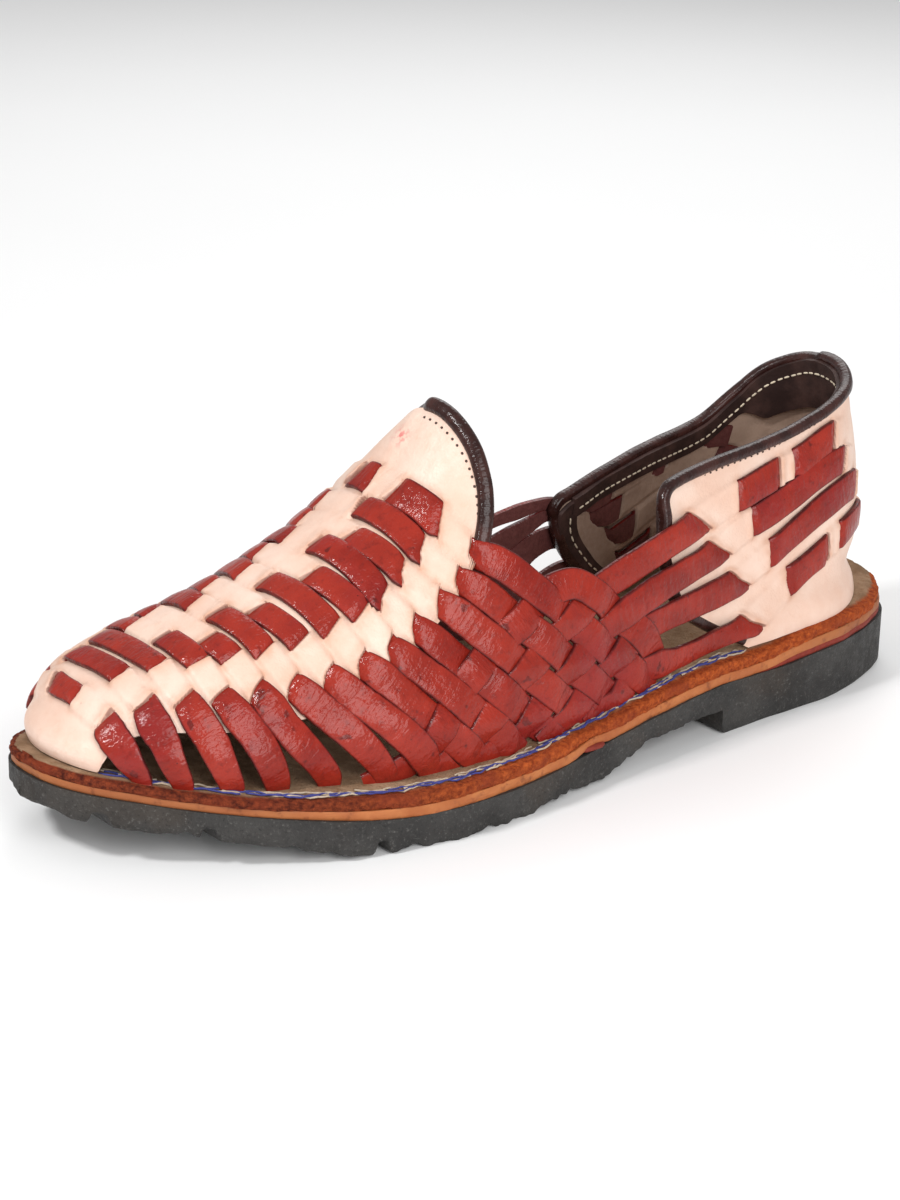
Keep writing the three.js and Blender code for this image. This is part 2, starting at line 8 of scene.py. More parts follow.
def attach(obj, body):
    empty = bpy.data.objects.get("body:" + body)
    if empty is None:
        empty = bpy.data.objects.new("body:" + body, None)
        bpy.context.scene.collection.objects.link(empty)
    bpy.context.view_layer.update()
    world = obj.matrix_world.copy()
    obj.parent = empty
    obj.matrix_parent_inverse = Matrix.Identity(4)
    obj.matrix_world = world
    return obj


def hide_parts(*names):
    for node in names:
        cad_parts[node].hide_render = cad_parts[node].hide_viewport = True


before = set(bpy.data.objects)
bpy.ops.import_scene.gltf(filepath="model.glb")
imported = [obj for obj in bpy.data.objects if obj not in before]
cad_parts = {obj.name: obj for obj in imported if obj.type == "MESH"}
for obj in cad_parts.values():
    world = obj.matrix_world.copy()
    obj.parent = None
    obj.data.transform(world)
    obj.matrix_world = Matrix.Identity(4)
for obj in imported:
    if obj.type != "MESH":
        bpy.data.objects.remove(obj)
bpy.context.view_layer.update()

# Woven leather slip-on shoe for the left foot. Sizes are in millimetres until a mesh is made.
# X runs to the toe, Y to the shoe's left, Z up, and the floor is z = 0.
# Along the upper's wall, q is the distance from the heel's back, and s is q with a minus on the right side.
# Up the wall, v runs from 0 at the insole to 1 on the spine. A height is taken from the insole's top.

MM = 0.001
QUARTER = math.pi / 2
SIDES = (1, -1)
SIDE_NAMES = ((1, "left"), (-1, "right"))
rng = np.random.default_rng(7)

# Sole sizes. Outline and heights are those of the solids, at shares of the length from the heel
SOLE_LENGTH = 290.0
HEEL_WIDTH, WAIST_WIDTH, WAIST_SHIFT = 73.4, 72.4, 5.0
BALL_WIDTH, BALL_SHIFT = 102.3, -1.4
FORE_SHARE, TIP_SHARE, TOE_FULLER = 0.46, 0.31, 1.0
OUTLINE_AT = (0, 0.16, 0.40, 0.66, 0.80, 1.0)
HEEL_END, TOE_END, TOE_POWER = 0.13, 0.26, 2.4
TOE_SHIFT, TOE_SHIFT_AT, TOE_SHIFT_LONG, TOE_SHIFT_POWER = 15.2, 0.66, 0.34, 1.5
CENTRE_Y = 1.75
FORE_TOP, HEEL_TOP, FALL_AT = 16.8, 26.0, (0.18, 0.62)
TOE_SPRING, SPRING_AT, SPRING_LONG, SPRING_MOST, SPRING_POWER = 10.0, 0.70, 0.30, 1.02, 1.8
# Layers. The insole's edge is thicker here than in the solids and the midsole thinner
INSOLE_THICK, MIDSOLE_THICK, LAYER_THICK = 4.1, 2.6, 1.5
FORE_THIN, FORE_THIN_X = 0.27, (60, 105)
LAYER_STOP, LAYER_TAPER = -73.0, (70.0, 92.0)
GAP, MIDSOLE_MARGIN, RUBBER_MARGIN = 0.3, 0.2, 0.4
INSOLE_DROOP = 0.9
WAIST_SINK, SINK_AT, SINK_LONG = 2.4, -75.0, 16.0
DENT_AT, DENT_LONG, DENT_DEEP, DENT_SHARE = -1.0, 5.0, 1.9, 0.6
HEEL_BREAST, BREAST_ROUND, BREAST_FADE = -57.0, 3.0, 12.0
# Underside with its tread
UNDERSIDE_X = (-150, -54, -26, -15, -4, 20.5, 22.5, 58)
UNDERSIDE_Z = (8.4, 8.2, 7.2, 2.6, 1.2, 1.2, 0, 0)
TOE_LIFT, TOE_LIFT_X = 3.4, (74, 112)
GROOVES, GROOVE_EDGE, GROOVE_DEEP = (136.5, 115.5, 73.6), (1.1, 2.3), 3.2
TREAD_WAVES, TREAD_X = ((27, 0.8), (11.3, 0.6), (4.7, 0.4)), (-30, -12)
# How far the edges stand out more at both ends, and less on the heel's corners
TOE_GROW, TOE_GROW_X = 1.2, (128, 145)
HEEL_GROW, HEEL_GROW_X = 2.6, (130, 147)
HEEL_TRIM, TRIM_AT, TRIM_LONG = 2.0, -118.0, 13.0
HEEL_SPREAD_X = (124, 142)
# Waves of the edges: length and size
INSOLE_FUZZ = ((2.9, 0.10), (1.9, 0.10), (1.3, 0.08))
INSOLE_WAVES = ((31, 0.3), (11, 0.2), (4.3, 0.12))
MIDSOLE_WAVES = ((47, 0.2), (13, 0.1), (3.1, 0.05))
RUBBER_WAVES = ((61, 0.25), (17, 0.1))
CHIP_WAVES = ((23, 0.3), (7, 0.3), (2.9, 0.2))
# Parts of x and y in the place that these waves follow, and how steeply a rim droops
WAVE_RUN, DROOP_POWER = (0.8, 0.6), 5
# Insole's edge: bulge, how far its upper rim lies in, share of the ends' growth, spread at the heel and the
# fuzz's slant
INSOLE_BULGE, INSOLE_RIM, INSOLE_GROW, INSOLE_SPREAD, FUZZ_SLANT = 0.6, 0.5, 0.8, 0.3, 40
# Midsole's and rubber's edges: how far they stand out and their spread at the heel
MIDSOLE_OUT, MIDSOLE_SPREAD, MIDSOLE_ROUND = 0.1, 0.9, 0.25
RUBBER_OUT, RUBBER_SPREAD = 0.3, 1.6
# Worn lower rims of the rubber, at shares of its thickness
CHIP_AT, SOLE_WEAR, SOLE_WEAR_AT = (0.55, 1.0), 0.6, (0.85, 1.0)
HEEL_WEAR, HEEL_WEAR_AT = 0.8, (0.88, 1.0)

# Upper's form, close to that of the solids
HEEL_FAN, TOE_FAN = -100.0, 88.0
HEEL_BACK, TOE_TIP = -136.0, 138.7
HEEL_ARC, TOE_ARC = 50.0, 70.0
STRAIGHT = TOE_FAN - HEEL_FAN
Q_END = HEEL_ARC + STRAIGHT + TOE_ARC
HEEL_ROUND, TOE_ROUND_LEFT, TOE_ROUND_RIGHT = 2.2, 2.15, 2.0
SECTION_COLUMNS = ("half_left", "half_right", "mid", "spine", "power", "bulge", "lean_left", "lean_right")
# Each row: x, then the columns
SECTIONS = (
    (-140, 30.0, 29.5, 0.0, 125, 2.10, 2.2, 1.0, 1.0),
    (-100, 30.0, 29.5, 0.0, 124, 2.10, 2.2, 1.5, 3.0),
    (-60, 31.0, 28.0, 1.5, 120, 2.10, 2.0, 2.0, 5.0),
    (-20, 34.0, 30.0, 3.5, 112, 2.00, 1.5, 1.0, 4.0),
    (20, 40.0, 39.0, 1.5, 92, 1.95, 1.2, 0.0, 0.0),
    (40, 41.5, 42.0, -0.5, 68.5, 1.95, 1.8, 0.0, 0.0),
    (60, 41.5, 42.5, -2.5, 57, 2.05, 2.5, 0.0, 0.0),
    (88, 36.5, 39.2, -6.3, 42, 2.25, 2.0, 0.0, 0.0),
    (112, 36.5, 39.2, -10.0, 31, 2.50, 1.5, 0.0, 0.0),
    (140, 36.5, 39.2, -14.3, 21.3, 3.00, 1.4, 0.0, 0.0),
)
LEAN_HIGH, SWELL_SHARE = 50.0, 2.2
# Next to the spine the wall's rise is taken no higher than these v, and its direction turns into the spine's
RISE_TOP, RISE_FOOT, CREST_BLEND = 0.996, 0.99, (0.955, 0.995)
# Points on top of the vamp are taken no further out than this share of the half width
TOP_REACH = 0.995
# Power of the right half's curve: steeper beside the tongue, fuller at the toe
RIGHT_POWER_X = (-60, -20, 20, 40, 60, 88, 112, 140)
RIGHT_POWER = (2.10, 2.00, 1.60, 2.33, 2.05, 2.16, 2.90, 4.20)
TOE_BLEND = 24.0
# Height of the collar at q
COLLAR_Q = (0, 12, 22, 32, 44, 58, 70, 88, 105, 112, 120)
COLLAR_LEFT = (70.8, 70.2, 67.6, 65.8, 63.0, 59.8, 58.0, 57.6, 57.2, 55.6, 53.5)
COLLAR_RIGHT = (70.8, 67.6, 62.6, 54.6, 47.3, 44.7, 43.6, 41.4, 37.8, 35.9, 34.5)
# How far the leather stands out at its foot, beside the heel and at the toe
FLARE_Q = (0, 20, 36, 55, 76, 98, 286, 294, 308)
FLARE_LEFT = (0.0, 0.0, 2.4, 5.0, 5.0, 0.0, 0.0, 2.8, 3.0)
FLARE_RIGHT = (0.0, 0.0, 1.6, 3.2, 3.2, 0.0, 0.0, 1.7, 3.0)
FLARE_HIGH = 15.0
# How far the heel's back stands out at a height: a foot, a hollow over it and a rim that leans back
HEEL_H = (0, 4, 10, 19, 30, 46, 58, 72)
HEEL_OUT = (1.5, 0.3, -2.4, -0.8, -0.5, 0.4, 1.0, 0.2)
HEEL_OUT_Q = (26, 62)
# Top of the braided sides
SIDE_Q = (112, 116, 129, 144, 153, 163, 172, 182, 190)
SIDE_LEFT = (43.8, 43.8, 41.5, 38.8, 42.2, 44.6, 49.5, 54.0, 58.0)
SIDE_RIGHT = (36.7, 36.8, 37.0, 36.0, 38.5, 42.0, 49.0, 54.0, 58.0)
# Edge of the tongue, and the rolled edges' width along the wall and thickness across it
TONGUE_V = (0.40, 0.48, 0.55, 0.62, 0.72, 0.85, 1.00)
TONGUE_Q = (183.4, 178.5, 174.2, 172.4, 171.7, 172.0, 172.3)
TONGUE_FOOT = 0.485
TONGUE_BIND, TONGUE_BIND_THICK = 4.6, 3.8
COLLAR_BIND, COLLAR_BIND_THICK = 3.5, 3.9
STRAP_THICK, SHEET_THICK = 1.6, 1.5


# Curves and vectors


def column(xs, ys):
    """Smooth curve through a table that never overshoots it."""
    xs = np.asarray(xs, float)
    ys = np.asarray(ys, float)
    step = np.diff(xs)
    rise = np.diff(ys) / step
    slope = np.zeros_like(xs)
    for i in range(1, len(xs) - 1):
        if rise[i - 1] * rise[i] > 0:
            a = 2 * step[i] + step[i - 1]
            b = step[i] + 2 * step[i - 1]
            slope[i] = (a + b) / (a / rise[i - 1] + b / rise[i])
    slope[0], slope[-1] = rise[0], rise[-1]

    def curve(value):
        x = np.clip(value, xs[0], xs[-1])
        i = np.clip(np.searchsorted(xs, x, side="right") - 1, 0, len(xs) - 2)
        t = (x - xs[i]) / step[i]
        u = 1 - t
        keep = ys[i] * (1 + 2 * t) * u * u + ys[i + 1] * t * t * (3 - 2 * t)
        return keep + step[i] * (slope[i] * t * u * u - slope[i + 1] * t * t * u)

    return curve


def two_sided(xs, left, right):
    """Curve with a table for each side of the shoe."""
    left_curve, right_curve = column(xs, left), column(xs, right)

    def curve(x, on_left):
        return np.where(on_left, left_curve(x), right_curve(x))

    return curve


def smooth(x, a, b):
    t = np.clip((np.asarray(x, float) - a) / (b - a), 0, 1)
    return t * t * (3 - 2 * t)


def hump(x, middle, long):
    return np.exp(-((np.asarray(x, float) - middle) / long) ** 2)


def ripple(arc, waves, seed):
    """Sum of waves (length, size) with random phases."""
    draw = np.random.default_rng(seed)
    total = 0 * arc
    for length, size in waves:
        total = total + size * np.sin(arc * 2 * math.pi / length + draw.uniform(0, 6.3))
    return total


def unit(a):
    return a / np.maximum(np.linalg.norm(a, axis=-1, keepdims=True), 1e-9)


def toward(a, b, distance):
    return a + unit(b - a) * distance


def arc_length(points):
    """Distance of each point along a line."""
    return np.concatenate([[0], np.cumsum(np.linalg.norm(np.diff(points, axis=0), axis=1))])


def sample(at, arc, values):
    """Vectors at places along a line."""
    return np.stack([np.interp(at, arc, values[:, k]) for k in range(3)], -1)


def between(t, t0, t1, a, b):
    return (t1 - t) / (t1 - t0) * a + (t - t0) / (t1 - t0) * b


def spline(points, step, dense_count=24):
    """Smooth line through points, with a point about every step, and where along it the given points lie."""
    p = np.asarray(points, float)
    p = np.vstack([2 * p[0] - p[1], p, 2 * p[-1] - p[-2]])
    knots = np.maximum(np.linalg.norm(np.diff(p, axis=0), axis=1), 1e-6) ** 0.5
    dense = []
    for i in range(1, len(p) - 2):
        four = p[i - 1:i + 3]
        at = np.concatenate([[0], np.cumsum(knots[i - 1:i + 2])])
        t = np.linspace(at[1], at[2], dense_count, endpoint=False)[:, None]
        first = [between(t, at[k], at[k + 1], four[k], four[k + 1]) for k in range(3)]
        second = [between(t, at[k], at[k + 2], first[k], first[k + 1]) for k in range(2)]
        dense.append(between(t, at[1], at[2], *second))
    dense = np.vstack(dense + [p[-2:-1]])
    length = arc_length(dense)
    even = np.linspace(0, length[-1], max(int(length[-1] / step), 4) + 1)
    return sample(even, length, dense), even, length[::dense_count]


# Form of the upper

section_x, *section_values = zip(*SECTIONS)
section = {title: column(section_x, values) for title, values in zip(SECTION_COLUMNS, section_values)}
right_power = column(RIGHT_POWER_X, RIGHT_POWER)
flare = two_sided(FLARE_Q, FLARE_LEFT, FLARE_RIGHT)
heel_out = column(HEEL_H, HEEL_OUT)
collar = column([-q for q in COLLAR_Q[:0:-1]] + list(COLLAR_Q), COLLAR_RIGHT[:0:-1] + COLLAR_LEFT)
side_top = two_sided(SIDE_Q, SIDE_LEFT, SIDE_RIGHT)
tongue_q = column(TONGUE_V, TONGUE_Q)


def insole_top(x):
    s = (np.asarray(x, float) + SOLE_LENGTH / 2) / SOLE_LENGTH
    rise = np.clip((s - SPRING_AT) / SPRING_LONG, 0, SPRING_MOST)
    return HEEL_TOP + (FORE_TOP - HEEL_TOP) * smooth(s, *FALL_AT) + TOE_SPRING * rise ** SPRING_POWER


def sided(title, x, left):
    return np.where(left, section[title + "_left"](x), section[title + "_right"](x))


def power_at(x, left, q):
    part = np.where(left, 0, smooth(Q_END - q, 0, TOE_BLEND))
    return section["power"](x) * (1 - part) + right_power(x) * part


def plan_radius(turn, base, left):
    """Distance of the feather edge from the fan's centre line."""
    heel = turn < QUARTER
    power = np.where(heel, HEEL_ROUND, np.where(left, TOE_ROUND_LEFT, TOE_ROUND_RIGHT))
    reach = np.where(heel, HEEL_FAN - HEEL_BACK, TOE_TIP - TOE_FAN)
    along = np.abs(np.cos(turn)) / reach
    across = np.abs(np.sin(turn)) / sided("half", base, left)
    return (along ** power + across ** power) ** (-1 / power)


def swell_at(x, up):
    return section["bulge"](x) * np.sin(np.pi * np.clip(up * SWELL_SHARE, 0, 1))


def flare_at(q, left, height):
    foot = flare(q, left) * (1 - smooth(height, 0, FLARE_HIGH))
    return foot + heel_out(height) * (1 - smooth(q, *HEEL_OUT_Q))


def toe_q(turn):
    return HEEL_ARC + STRAIGHT + (turn / QUARTER - 1) * TOE_ARC


def form(s, v):
    """Point of the upper at s along the wall and v up it. Past the toe's tip s goes on along the other
    side."""
    s, v = np.broadcast_arrays(np.asarray(s, float), np.asarray(v, float))
    s = np.where(np.abs(s) > Q_END, -np.sign(s) * (2 * Q_END - np.abs(s)), s)
    left = s >= 0
    q = np.abs(s)
    base = np.clip(HEEL_FAN + q - HEEL_ARC, HEEL_FAN, TOE_FAN)
    ahead = np.clip((q - HEEL_ARC - STRAIGHT) / TOE_ARC, 0, None)
    turn = np.where(q < HEEL_ARC, q / HEEL_ARC, 1 + ahead) * QUARTER
    radius = plan_radius(turn, base, left)
    cos, sin = np.maximum(np.cos(v * QUARTER), 0), np.sin(v * QUARTER)
    x = base
    for _ in range(3):
        power = power_at(x, left, q)
        size = (cos ** power + np.abs(sin) ** power) ** (-1 / power)
        out, up = cos * size, sin * size
        height = section["spine"](x) * up
        lean = sided("lean", x, left) * height * out / LEAN_HIGH
        r = radius * out + swell_at(x, up) + flare_at(q, left, height) - lean
        x = base - np.cos(turn) * r
    y = np.where(left, 1, -1) * np.sin(turn) * r + section["mid"](x) + CENTRE_Y
    return np.stack([x, y, height + insole_top(x)], -1)


def outward(s, v, near_s=0.4, near_v=0.004):
    """Outward direction of the upper's wall, from points near by. Next to the spine it is the spine's own."""
    s, v = np.broadcast_arrays(np.asarray(s, float), np.asarray(v, float))
    along = form(s + near_s, v) - form(s - near_s, v)
    rise = form(s, np.minimum(v + near_v, RISE_TOP)) - form(s, np.minimum(v, RISE_FOOT) - near_v)
    normal = unit(np.cross(rise, along))
    base = np.clip(HEEL_FAN + np.abs(s) - HEEL_ARC, HEEL_FAN, TOE_FAN)
    drop = (section["spine"](base + 1) - section["spine"](base - 1)) / 2
    crest = unit(np.stack([-drop, 0 * drop, 1 + 0 * drop], -1))
    blend = smooth(v, *CREST_BLEND)[..., None]
    return unit(normal * (1 - blend) + crest * blend)


def at_height(s, height, lowest=-0.15, halvings=26):
    """v of the point at a height over the insole."""
    s, height = np.broadcast_arrays(np.asarray(s, float), np.asarray(height, float))
    low, high = np.full(s.shape, lowest), np.ones(s.shape)
    for _ in range(halvings):
        v = (low + high) / 2
        p = form(s, v)
        below = p[..., 2] - insole_top(p[..., 0]) < height
        low, high = np.where(below, v, low), np.where(below, high, v)
    return (low + high) / 2


def wall_point(s, height):
    return form(s, at_height(s, height))


def project(p):
    """(s, v) of the form's point next to p."""
    x = p[..., 0]
    y = p[..., 1] - section["mid"](x) - CENTRE_Y
    left = y >= 0
    wide = np.abs(y)
    ahead, behind = x - TOE_FAN, HEEL_FAN - x
    toe, heel = ahead > 0, behind > 0
    turn = np.where(toe, QUARTER + np.arctan2(ahead, wide), QUARTER)
    turn = np.where(heel, np.arctan2(wide, behind), turn)
    r = np.where(toe, np.hypot(ahead, wide), np.where(heel, np.hypot(behind, wide), wide))
    base = np.clip(x, HEEL_FAN, TOE_FAN)
    q = np.where(toe, toe_q(turn), HEEL_ARC + base - HEEL_FAN)
    q = np.where(heel, turn / QUARTER * HEEL_ARC, q)
    height = p[..., 2] - insole_top(x)
    up = height / section["spine"](x)
    room = plan_radius(turn, base, left) - sided("lean", x, left) * height / LEAN_HIGH
    out = (r - swell_at(x, up) - flare_at(q, left, height)) / np.maximum(room, 1)
    v = np.arctan2(up, np.maximum(out, 0)) / QUARTER
    return np.where(left, q, -q), v


def top_point(x, aside):
    """Point on top of the vamp at x, a distance to the left of its middle line."""
    left = aside >= 0
    ahead = np.maximum(np.asarray(x, float) - TOE_FAN, 0)
    turn = QUARTER + np.arctan2(ahead, np.abs(aside) + 1e-6)
    room = plan_radius(turn, np.clip(x, HEEL_FAN, TOE_FAN), left)
    out = np.clip(np.hypot(ahead, aside) / room, 0, TOP_REACH)
    power = power_at(x, left, toe_q(turn))
    height = section["spine"](x) * (1 - out ** power) ** (1 / power)
    p = np.stack([x, aside + section["mid"](x) + CENTRE_Y, height + insole_top(x)], -1)
    return form(*project(p))


def side_point(side, q, height):
    """Point of the braid on one side. On the right it lies lower."""
    if side < 0:
        height = height * float(side_top(q, False) / side_top(q, True))
    return wall_point(side * q, height)


def over_spine(foot, count):
    """v from a foot on the left over the spine to the right, and the side of each."""
    up = np.linspace(foot, 1, count)
    v = np.concatenate([up, up[-2::-1]])
    return v, np.where(np.arange(len(v)) < count, 1, -1)


# Meshes, each as points, faces and marks: a number for each point that its material reads

# A grid's last row whose ends are nearer than this is folded onto itself and has no border
FOLDED = 0.5


def make_object(name, mesh_data, material, smooth_angle=None):
    points, faces, marks = mesh_data
    mesh = bpy.data.meshes.new(name)
    mesh.from_pydata((np.asarray(points) * MM).tolist(), [], faces)
    mesh.update()
    for title, values in marks.items():
        layer = mesh.attributes.new(title, "FLOAT", "POINT")
        layer.data.foreach_set("value", np.asarray(values, np.float32))
    mesh.polygons.foreach_set("use_smooth", [True] * len(mesh.polygons))
    if smooth_angle:
        mesh.set_sharp_from_angle(angle=math.radians(smooth_angle))
    mesh.materials.append(material)
    obj = bpy.data.objects.new(name, mesh)
    bpy.context.scene.collection.objects.link(obj)
    return obj


def piece(name, mesh_data, material, smooth_angle, slot, *nodes):
    """Visible piece of the shoe, in place of the nodes of the solids that it stands for."""
    obj = make_object(name, mesh_data, material, smooth_angle)
    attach(obj, "root")
    if nodes:
        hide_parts(*nodes)


def joined(parts):
    """Several meshes as one."""
    points, faces, marks, start = [], [], {}, 0
    for p, f, m in parts:
        points.append(p)
        faces += [tuple(int(k) + start for k in face) for face in f]
        for title, values in m.items():
            marks.setdefault(title, []).append(np.asarray(values, float))
        start += len(p)
    return np.concatenate(points), faces, {k: np.concatenate(a) for k, a in marks.items()}


def tube_faces(rows, ring):
    """Faces of a tube of rows of ring points, closed at both ends."""
    faces = []
    for i in range(rows - 1):
        for k in range(ring):
            m = (k + 1) % ring
            faces.append((i * ring + k, (i + 1) * ring + k, (i + 1) * ring + m, i * ring + m))
    faces.append(tuple(range(ring)))
    faces.append(tuple((rows - 1) * ring + k for k in reversed(range(ring))))
    return faces


def sheet_mesh(s, v, off, thick, **marks):
    """Closed sheet over a grid of (s, v), its outer face at off over the form."""
    rows, cols = s.shape
    base, normal = form(s, v), outward(s, v)
    outer = base + normal * off[..., None]
    inner = base + normal * (off - thick)[..., None]
    half = rows * cols
    faces = []
    for i in range(rows - 1):
        for k in range(cols - 1):
            a, b = i * cols + k, (i + 1) * cols + k
            faces.append((a, a + 1, b + 1, b))
            faces.append((half + a, half + b, half + b + 1, half + a + 1))
    number = np.arange(half).reshape(rows, cols)
    borders = [number[0], number[:, -1], number[::-1, 0]]
    if np.linalg.norm(outer[-1, 0] - outer[-1, -1]) > FOLDED:
        borders.append(number[-1, ::-1])
    for border in borders:
        for a, b in zip(border[:-1].tolist(), border[1:].tolist()):
            faces.append((b, a, half + a, half + b))
    both = {title: np.tile(np.ravel(values), 2) for title, values in marks.items()}
    both["inside"] = np.repeat([0.0, 1.0], half)
    return np.concatenate([outer.reshape(-1, 3), inner.reshape(-1, 3)]), faces, both


def rolled_edge(points, normals, wide, thick, ring=18, power=0.8):
    """Tube of a flattened round section along a line, wide along the wall and thick across it."""
    run = unit(np.gradient(points, axis=0))
    across = unit(np.cross(run, normals))
    up = np.cross(across, run)
    angle = np.linspace(0, 2 * math.pi, ring, endpoint=False)
    cos = np.sign(np.cos(angle)) * np.abs(np.cos(angle)) ** power
    sin = np.sign(np.sin(angle)) * np.abs(np.sin(angle)) ** power
    body = points[:, None, :] + across[:, None, :] * (cos * wide / 2)[None, :, None]
    body = body + up[:, None, :] * (sin * thick / 2)[None, :, None]
    marks = {"along": np.repeat(arc_length(points), ring), "around": np.tile(angle, len(points))}
    return body.reshape(-1, 3), tube_faces(len(points), ring), marks


CAPSULE = ((-0.5, 0.05), (-0.46, 0.55), (-0.3, 0.95), (0.0, 1.0), (0.3, 0.95), (0.46, 0.55), (0.5, 0.05))


def capsules(points, runs, normals, length, radius, flat=0.7, ring=6):
    """Short round-ended threads lying on a surface."""
    parts = []
    for p, run, up in zip(points, runs, normals):
        aside = np.cross(up, run)
        body = []
        for t, r in CAPSULE:
            for k in range(ring):
                a = 2 * math.pi * k / ring
                spread = aside * math.cos(a) * r + up * math.sin(a) * r * flat
                body.append(p + run * t * length + spread * radius)
        parts.append((np.array(body), tube_faces(len(CAPSULE), ring), {}))
    return joined(parts)


# Straps

# Levels of a strap's middle over the wall: in the braid, on a sheet, in its slit and under it
OVER, UNDER = 0.95, -0.95
ON_SHEET, AT_SLIT, IN_TUNNEL = 0.5, -0.5, -1.9
FREE_LEVEL = 1.2
# Distance of the stops beside a slit, and how sharply a sheet steps there
SLIT_RUN, SLIT_SHARP = 2.2, 0.5
# Half widths of front straps, in the braid and in a slit
RIB_HALF, WEAVE_HALF, SLIT_HALF = 4.5, 4.6, 3.5
# Section of a strap, in half widths and thicknesses
STRAP_RING = (
    (-1.0, 0.0), (-0.99, 0.26), (-0.95, 0.39), (-0.87, 0.47), (-0.5, 0.58), (0.0, 0.62), (0.5, 0.58),
    (0.87, 0.47), (0.95, 0.39), (0.99, 0.26), (1.0, 0.0), (0.97, -0.45), (0.0, -0.5), (-0.97, -0.45),
)
FLESH_BELOW, TINT_APART = -0.4, 400.0
WANDER_WAVES, TILT_WAVES = ((107, 0.2), (38, 0.12)), ((69, 0.16), (27, 0.08))
WIDTH_WAVES = ((57, 0.025), (13, 0.012))


class Route:
    """Way of a strap. Each stop is a point, the level of the strap's middle over the wall and its half width.
    A slit is the number of its stop and how far the slit is cut askew."""

    def __init__(self, stops):
        self.stops = list(stops)
        self.slits = []

    def stop(self, point, level, half):
        self.stops.append((point, level, half))

    def approach(self, slit, *steps):
        """Stops before a slit, each given by its distance from the slit, level and half width."""
        before = self.stops[-1][0]
        for distance, level, half in steps:
            self.stop(toward(slit, before, distance), level, half)

    def slit(self, point, half, skew, level=AT_SLIT):
        self.slits.append((len(self.stops), skew))
        self.stop(point, level, half)

    def stretch(self, a, b, after_a, before_b, level, half):
        """Two stops of one level between two slits."""
        self.stop(toward(a, b, after_a), level, half)
        self.stop(toward(b, a, before_b), level, half)

    def join(self, other):
        """Goes on along another route from its end to its start."""
        last = len(self.stops) + len(other.stops) - 1
        self.stops += other.stops[::-1]
        self.slits += [(last - number, skew) for number, skew in other.slits[::-1]]


class Strap:
    """A leather strap along a route on the wall."""

    def __init__(self, route, step=0.9):
        points, levels, halves = zip(*route.stops)
        line, self.along, self.stops = spline(points, step)
        self.levels = np.array(levels, float)
        s, v = project(line)
        self.line = form(s, v)
        self.run = unit(np.gradient(self.line, axis=0))
        self.aside = unit(np.cross(outward(s, v), self.run))
        self.half = np.interp(self.along, self.stops, np.array(halves, float))
        self.slits = np.array([(self.stops[number], skew) for number, skew in route.slits]).reshape(-1, 2)
        self.windows = []

    def window(self, first, state, fade=SLIT_SHARP):
        """From a slit to the next the strap is over (+1) or under (-1) a leather sheet. Where a strap just
        ends below the sheet, the sheet settles over a longer way, fade."""
        self.windows.append((*self.slits[first], *self.slits[first + 1], state, fade))

    def weave(self, count):
        """Windows under and over the sheet by turns."""
        for k in range(count):
            self.window(k, -1 if k % 2 == 0 else 1)

    def level(self, along, across):
        """Level of the strap at a place on it, with the skew of the nearest slit."""
        if len(self.slits):
            near = np.abs(along[..., None] - self.slits[:, 0]).argmin(-1)
            along = along - self.slits[near, 1] * across
        i = np.clip(np.searchsorted(self.stops, along, side="right") - 1, 0, len(self.levels) - 2)
        step = smooth(along, self.stops[i], self.stops[i + 1])
        return self.levels[i] + (self.levels[i + 1] - self.levels[i]) * step

    def mesh(self):
        aside, high = np.array(STRAP_RING).T
        n, k = len(self.line), len(STRAP_RING)
        wander = ripple(self.along, WANDER_WAVES, rng.integers(1e6))
        tilt = ripple(self.along, TILT_WAVES, rng.integers(1e6))
        half = self.half * (1 + ripple(self.along, WIDTH_WAVES, rng.integers(1e6)))
        across = aside[None, :] * half[:, None]
        base = self.line[:, None, :] + self.aside[:, None, :] * (across + wander[:, None])[..., None]
        s, v = project(base)
        along = np.broadcast_to(self.along[:, None], (n, k))
        off = self.level(along, across) + high[None, :] * STRAP_THICK + tilt[:, None] * aside[None, :]
        points = form(s, v) + outward(s, v) * off[..., None]
        tint = rng.uniform(0, 1)
        marks = {
            "edge": np.tile(np.abs(aside), n),
            "along": (along + TINT_APART * tint).ravel(),
            "tint": np.full(n * k, tint),
            "flesh": np.tile((high < FLESH_BELOW) * 1.0, n),
        }
        return points.reshape(-1, 3), tube_faces(n, k), marks

    def local(self, points, chunk=4000):
        """Where points lie along and across the strap, how far from it, and its half width there."""
        found = []
        for i in range(0, len(points), chunk):
            p = points[i:i + chunk]
            d = ((p[:, None, :] - self.line[None]) ** 2).sum(-1)
            k = d.argmin(1)
            gap = p - self.line[k]
            along = self.along[k] + (gap * self.run[k]).sum(1)
            across = (gap * self.aside[k]).sum(1)
            found.append((along, across, np.sqrt(d[np.arange(len(p)), k]), self.half[k]))
        return np.concatenate(found, axis=1)


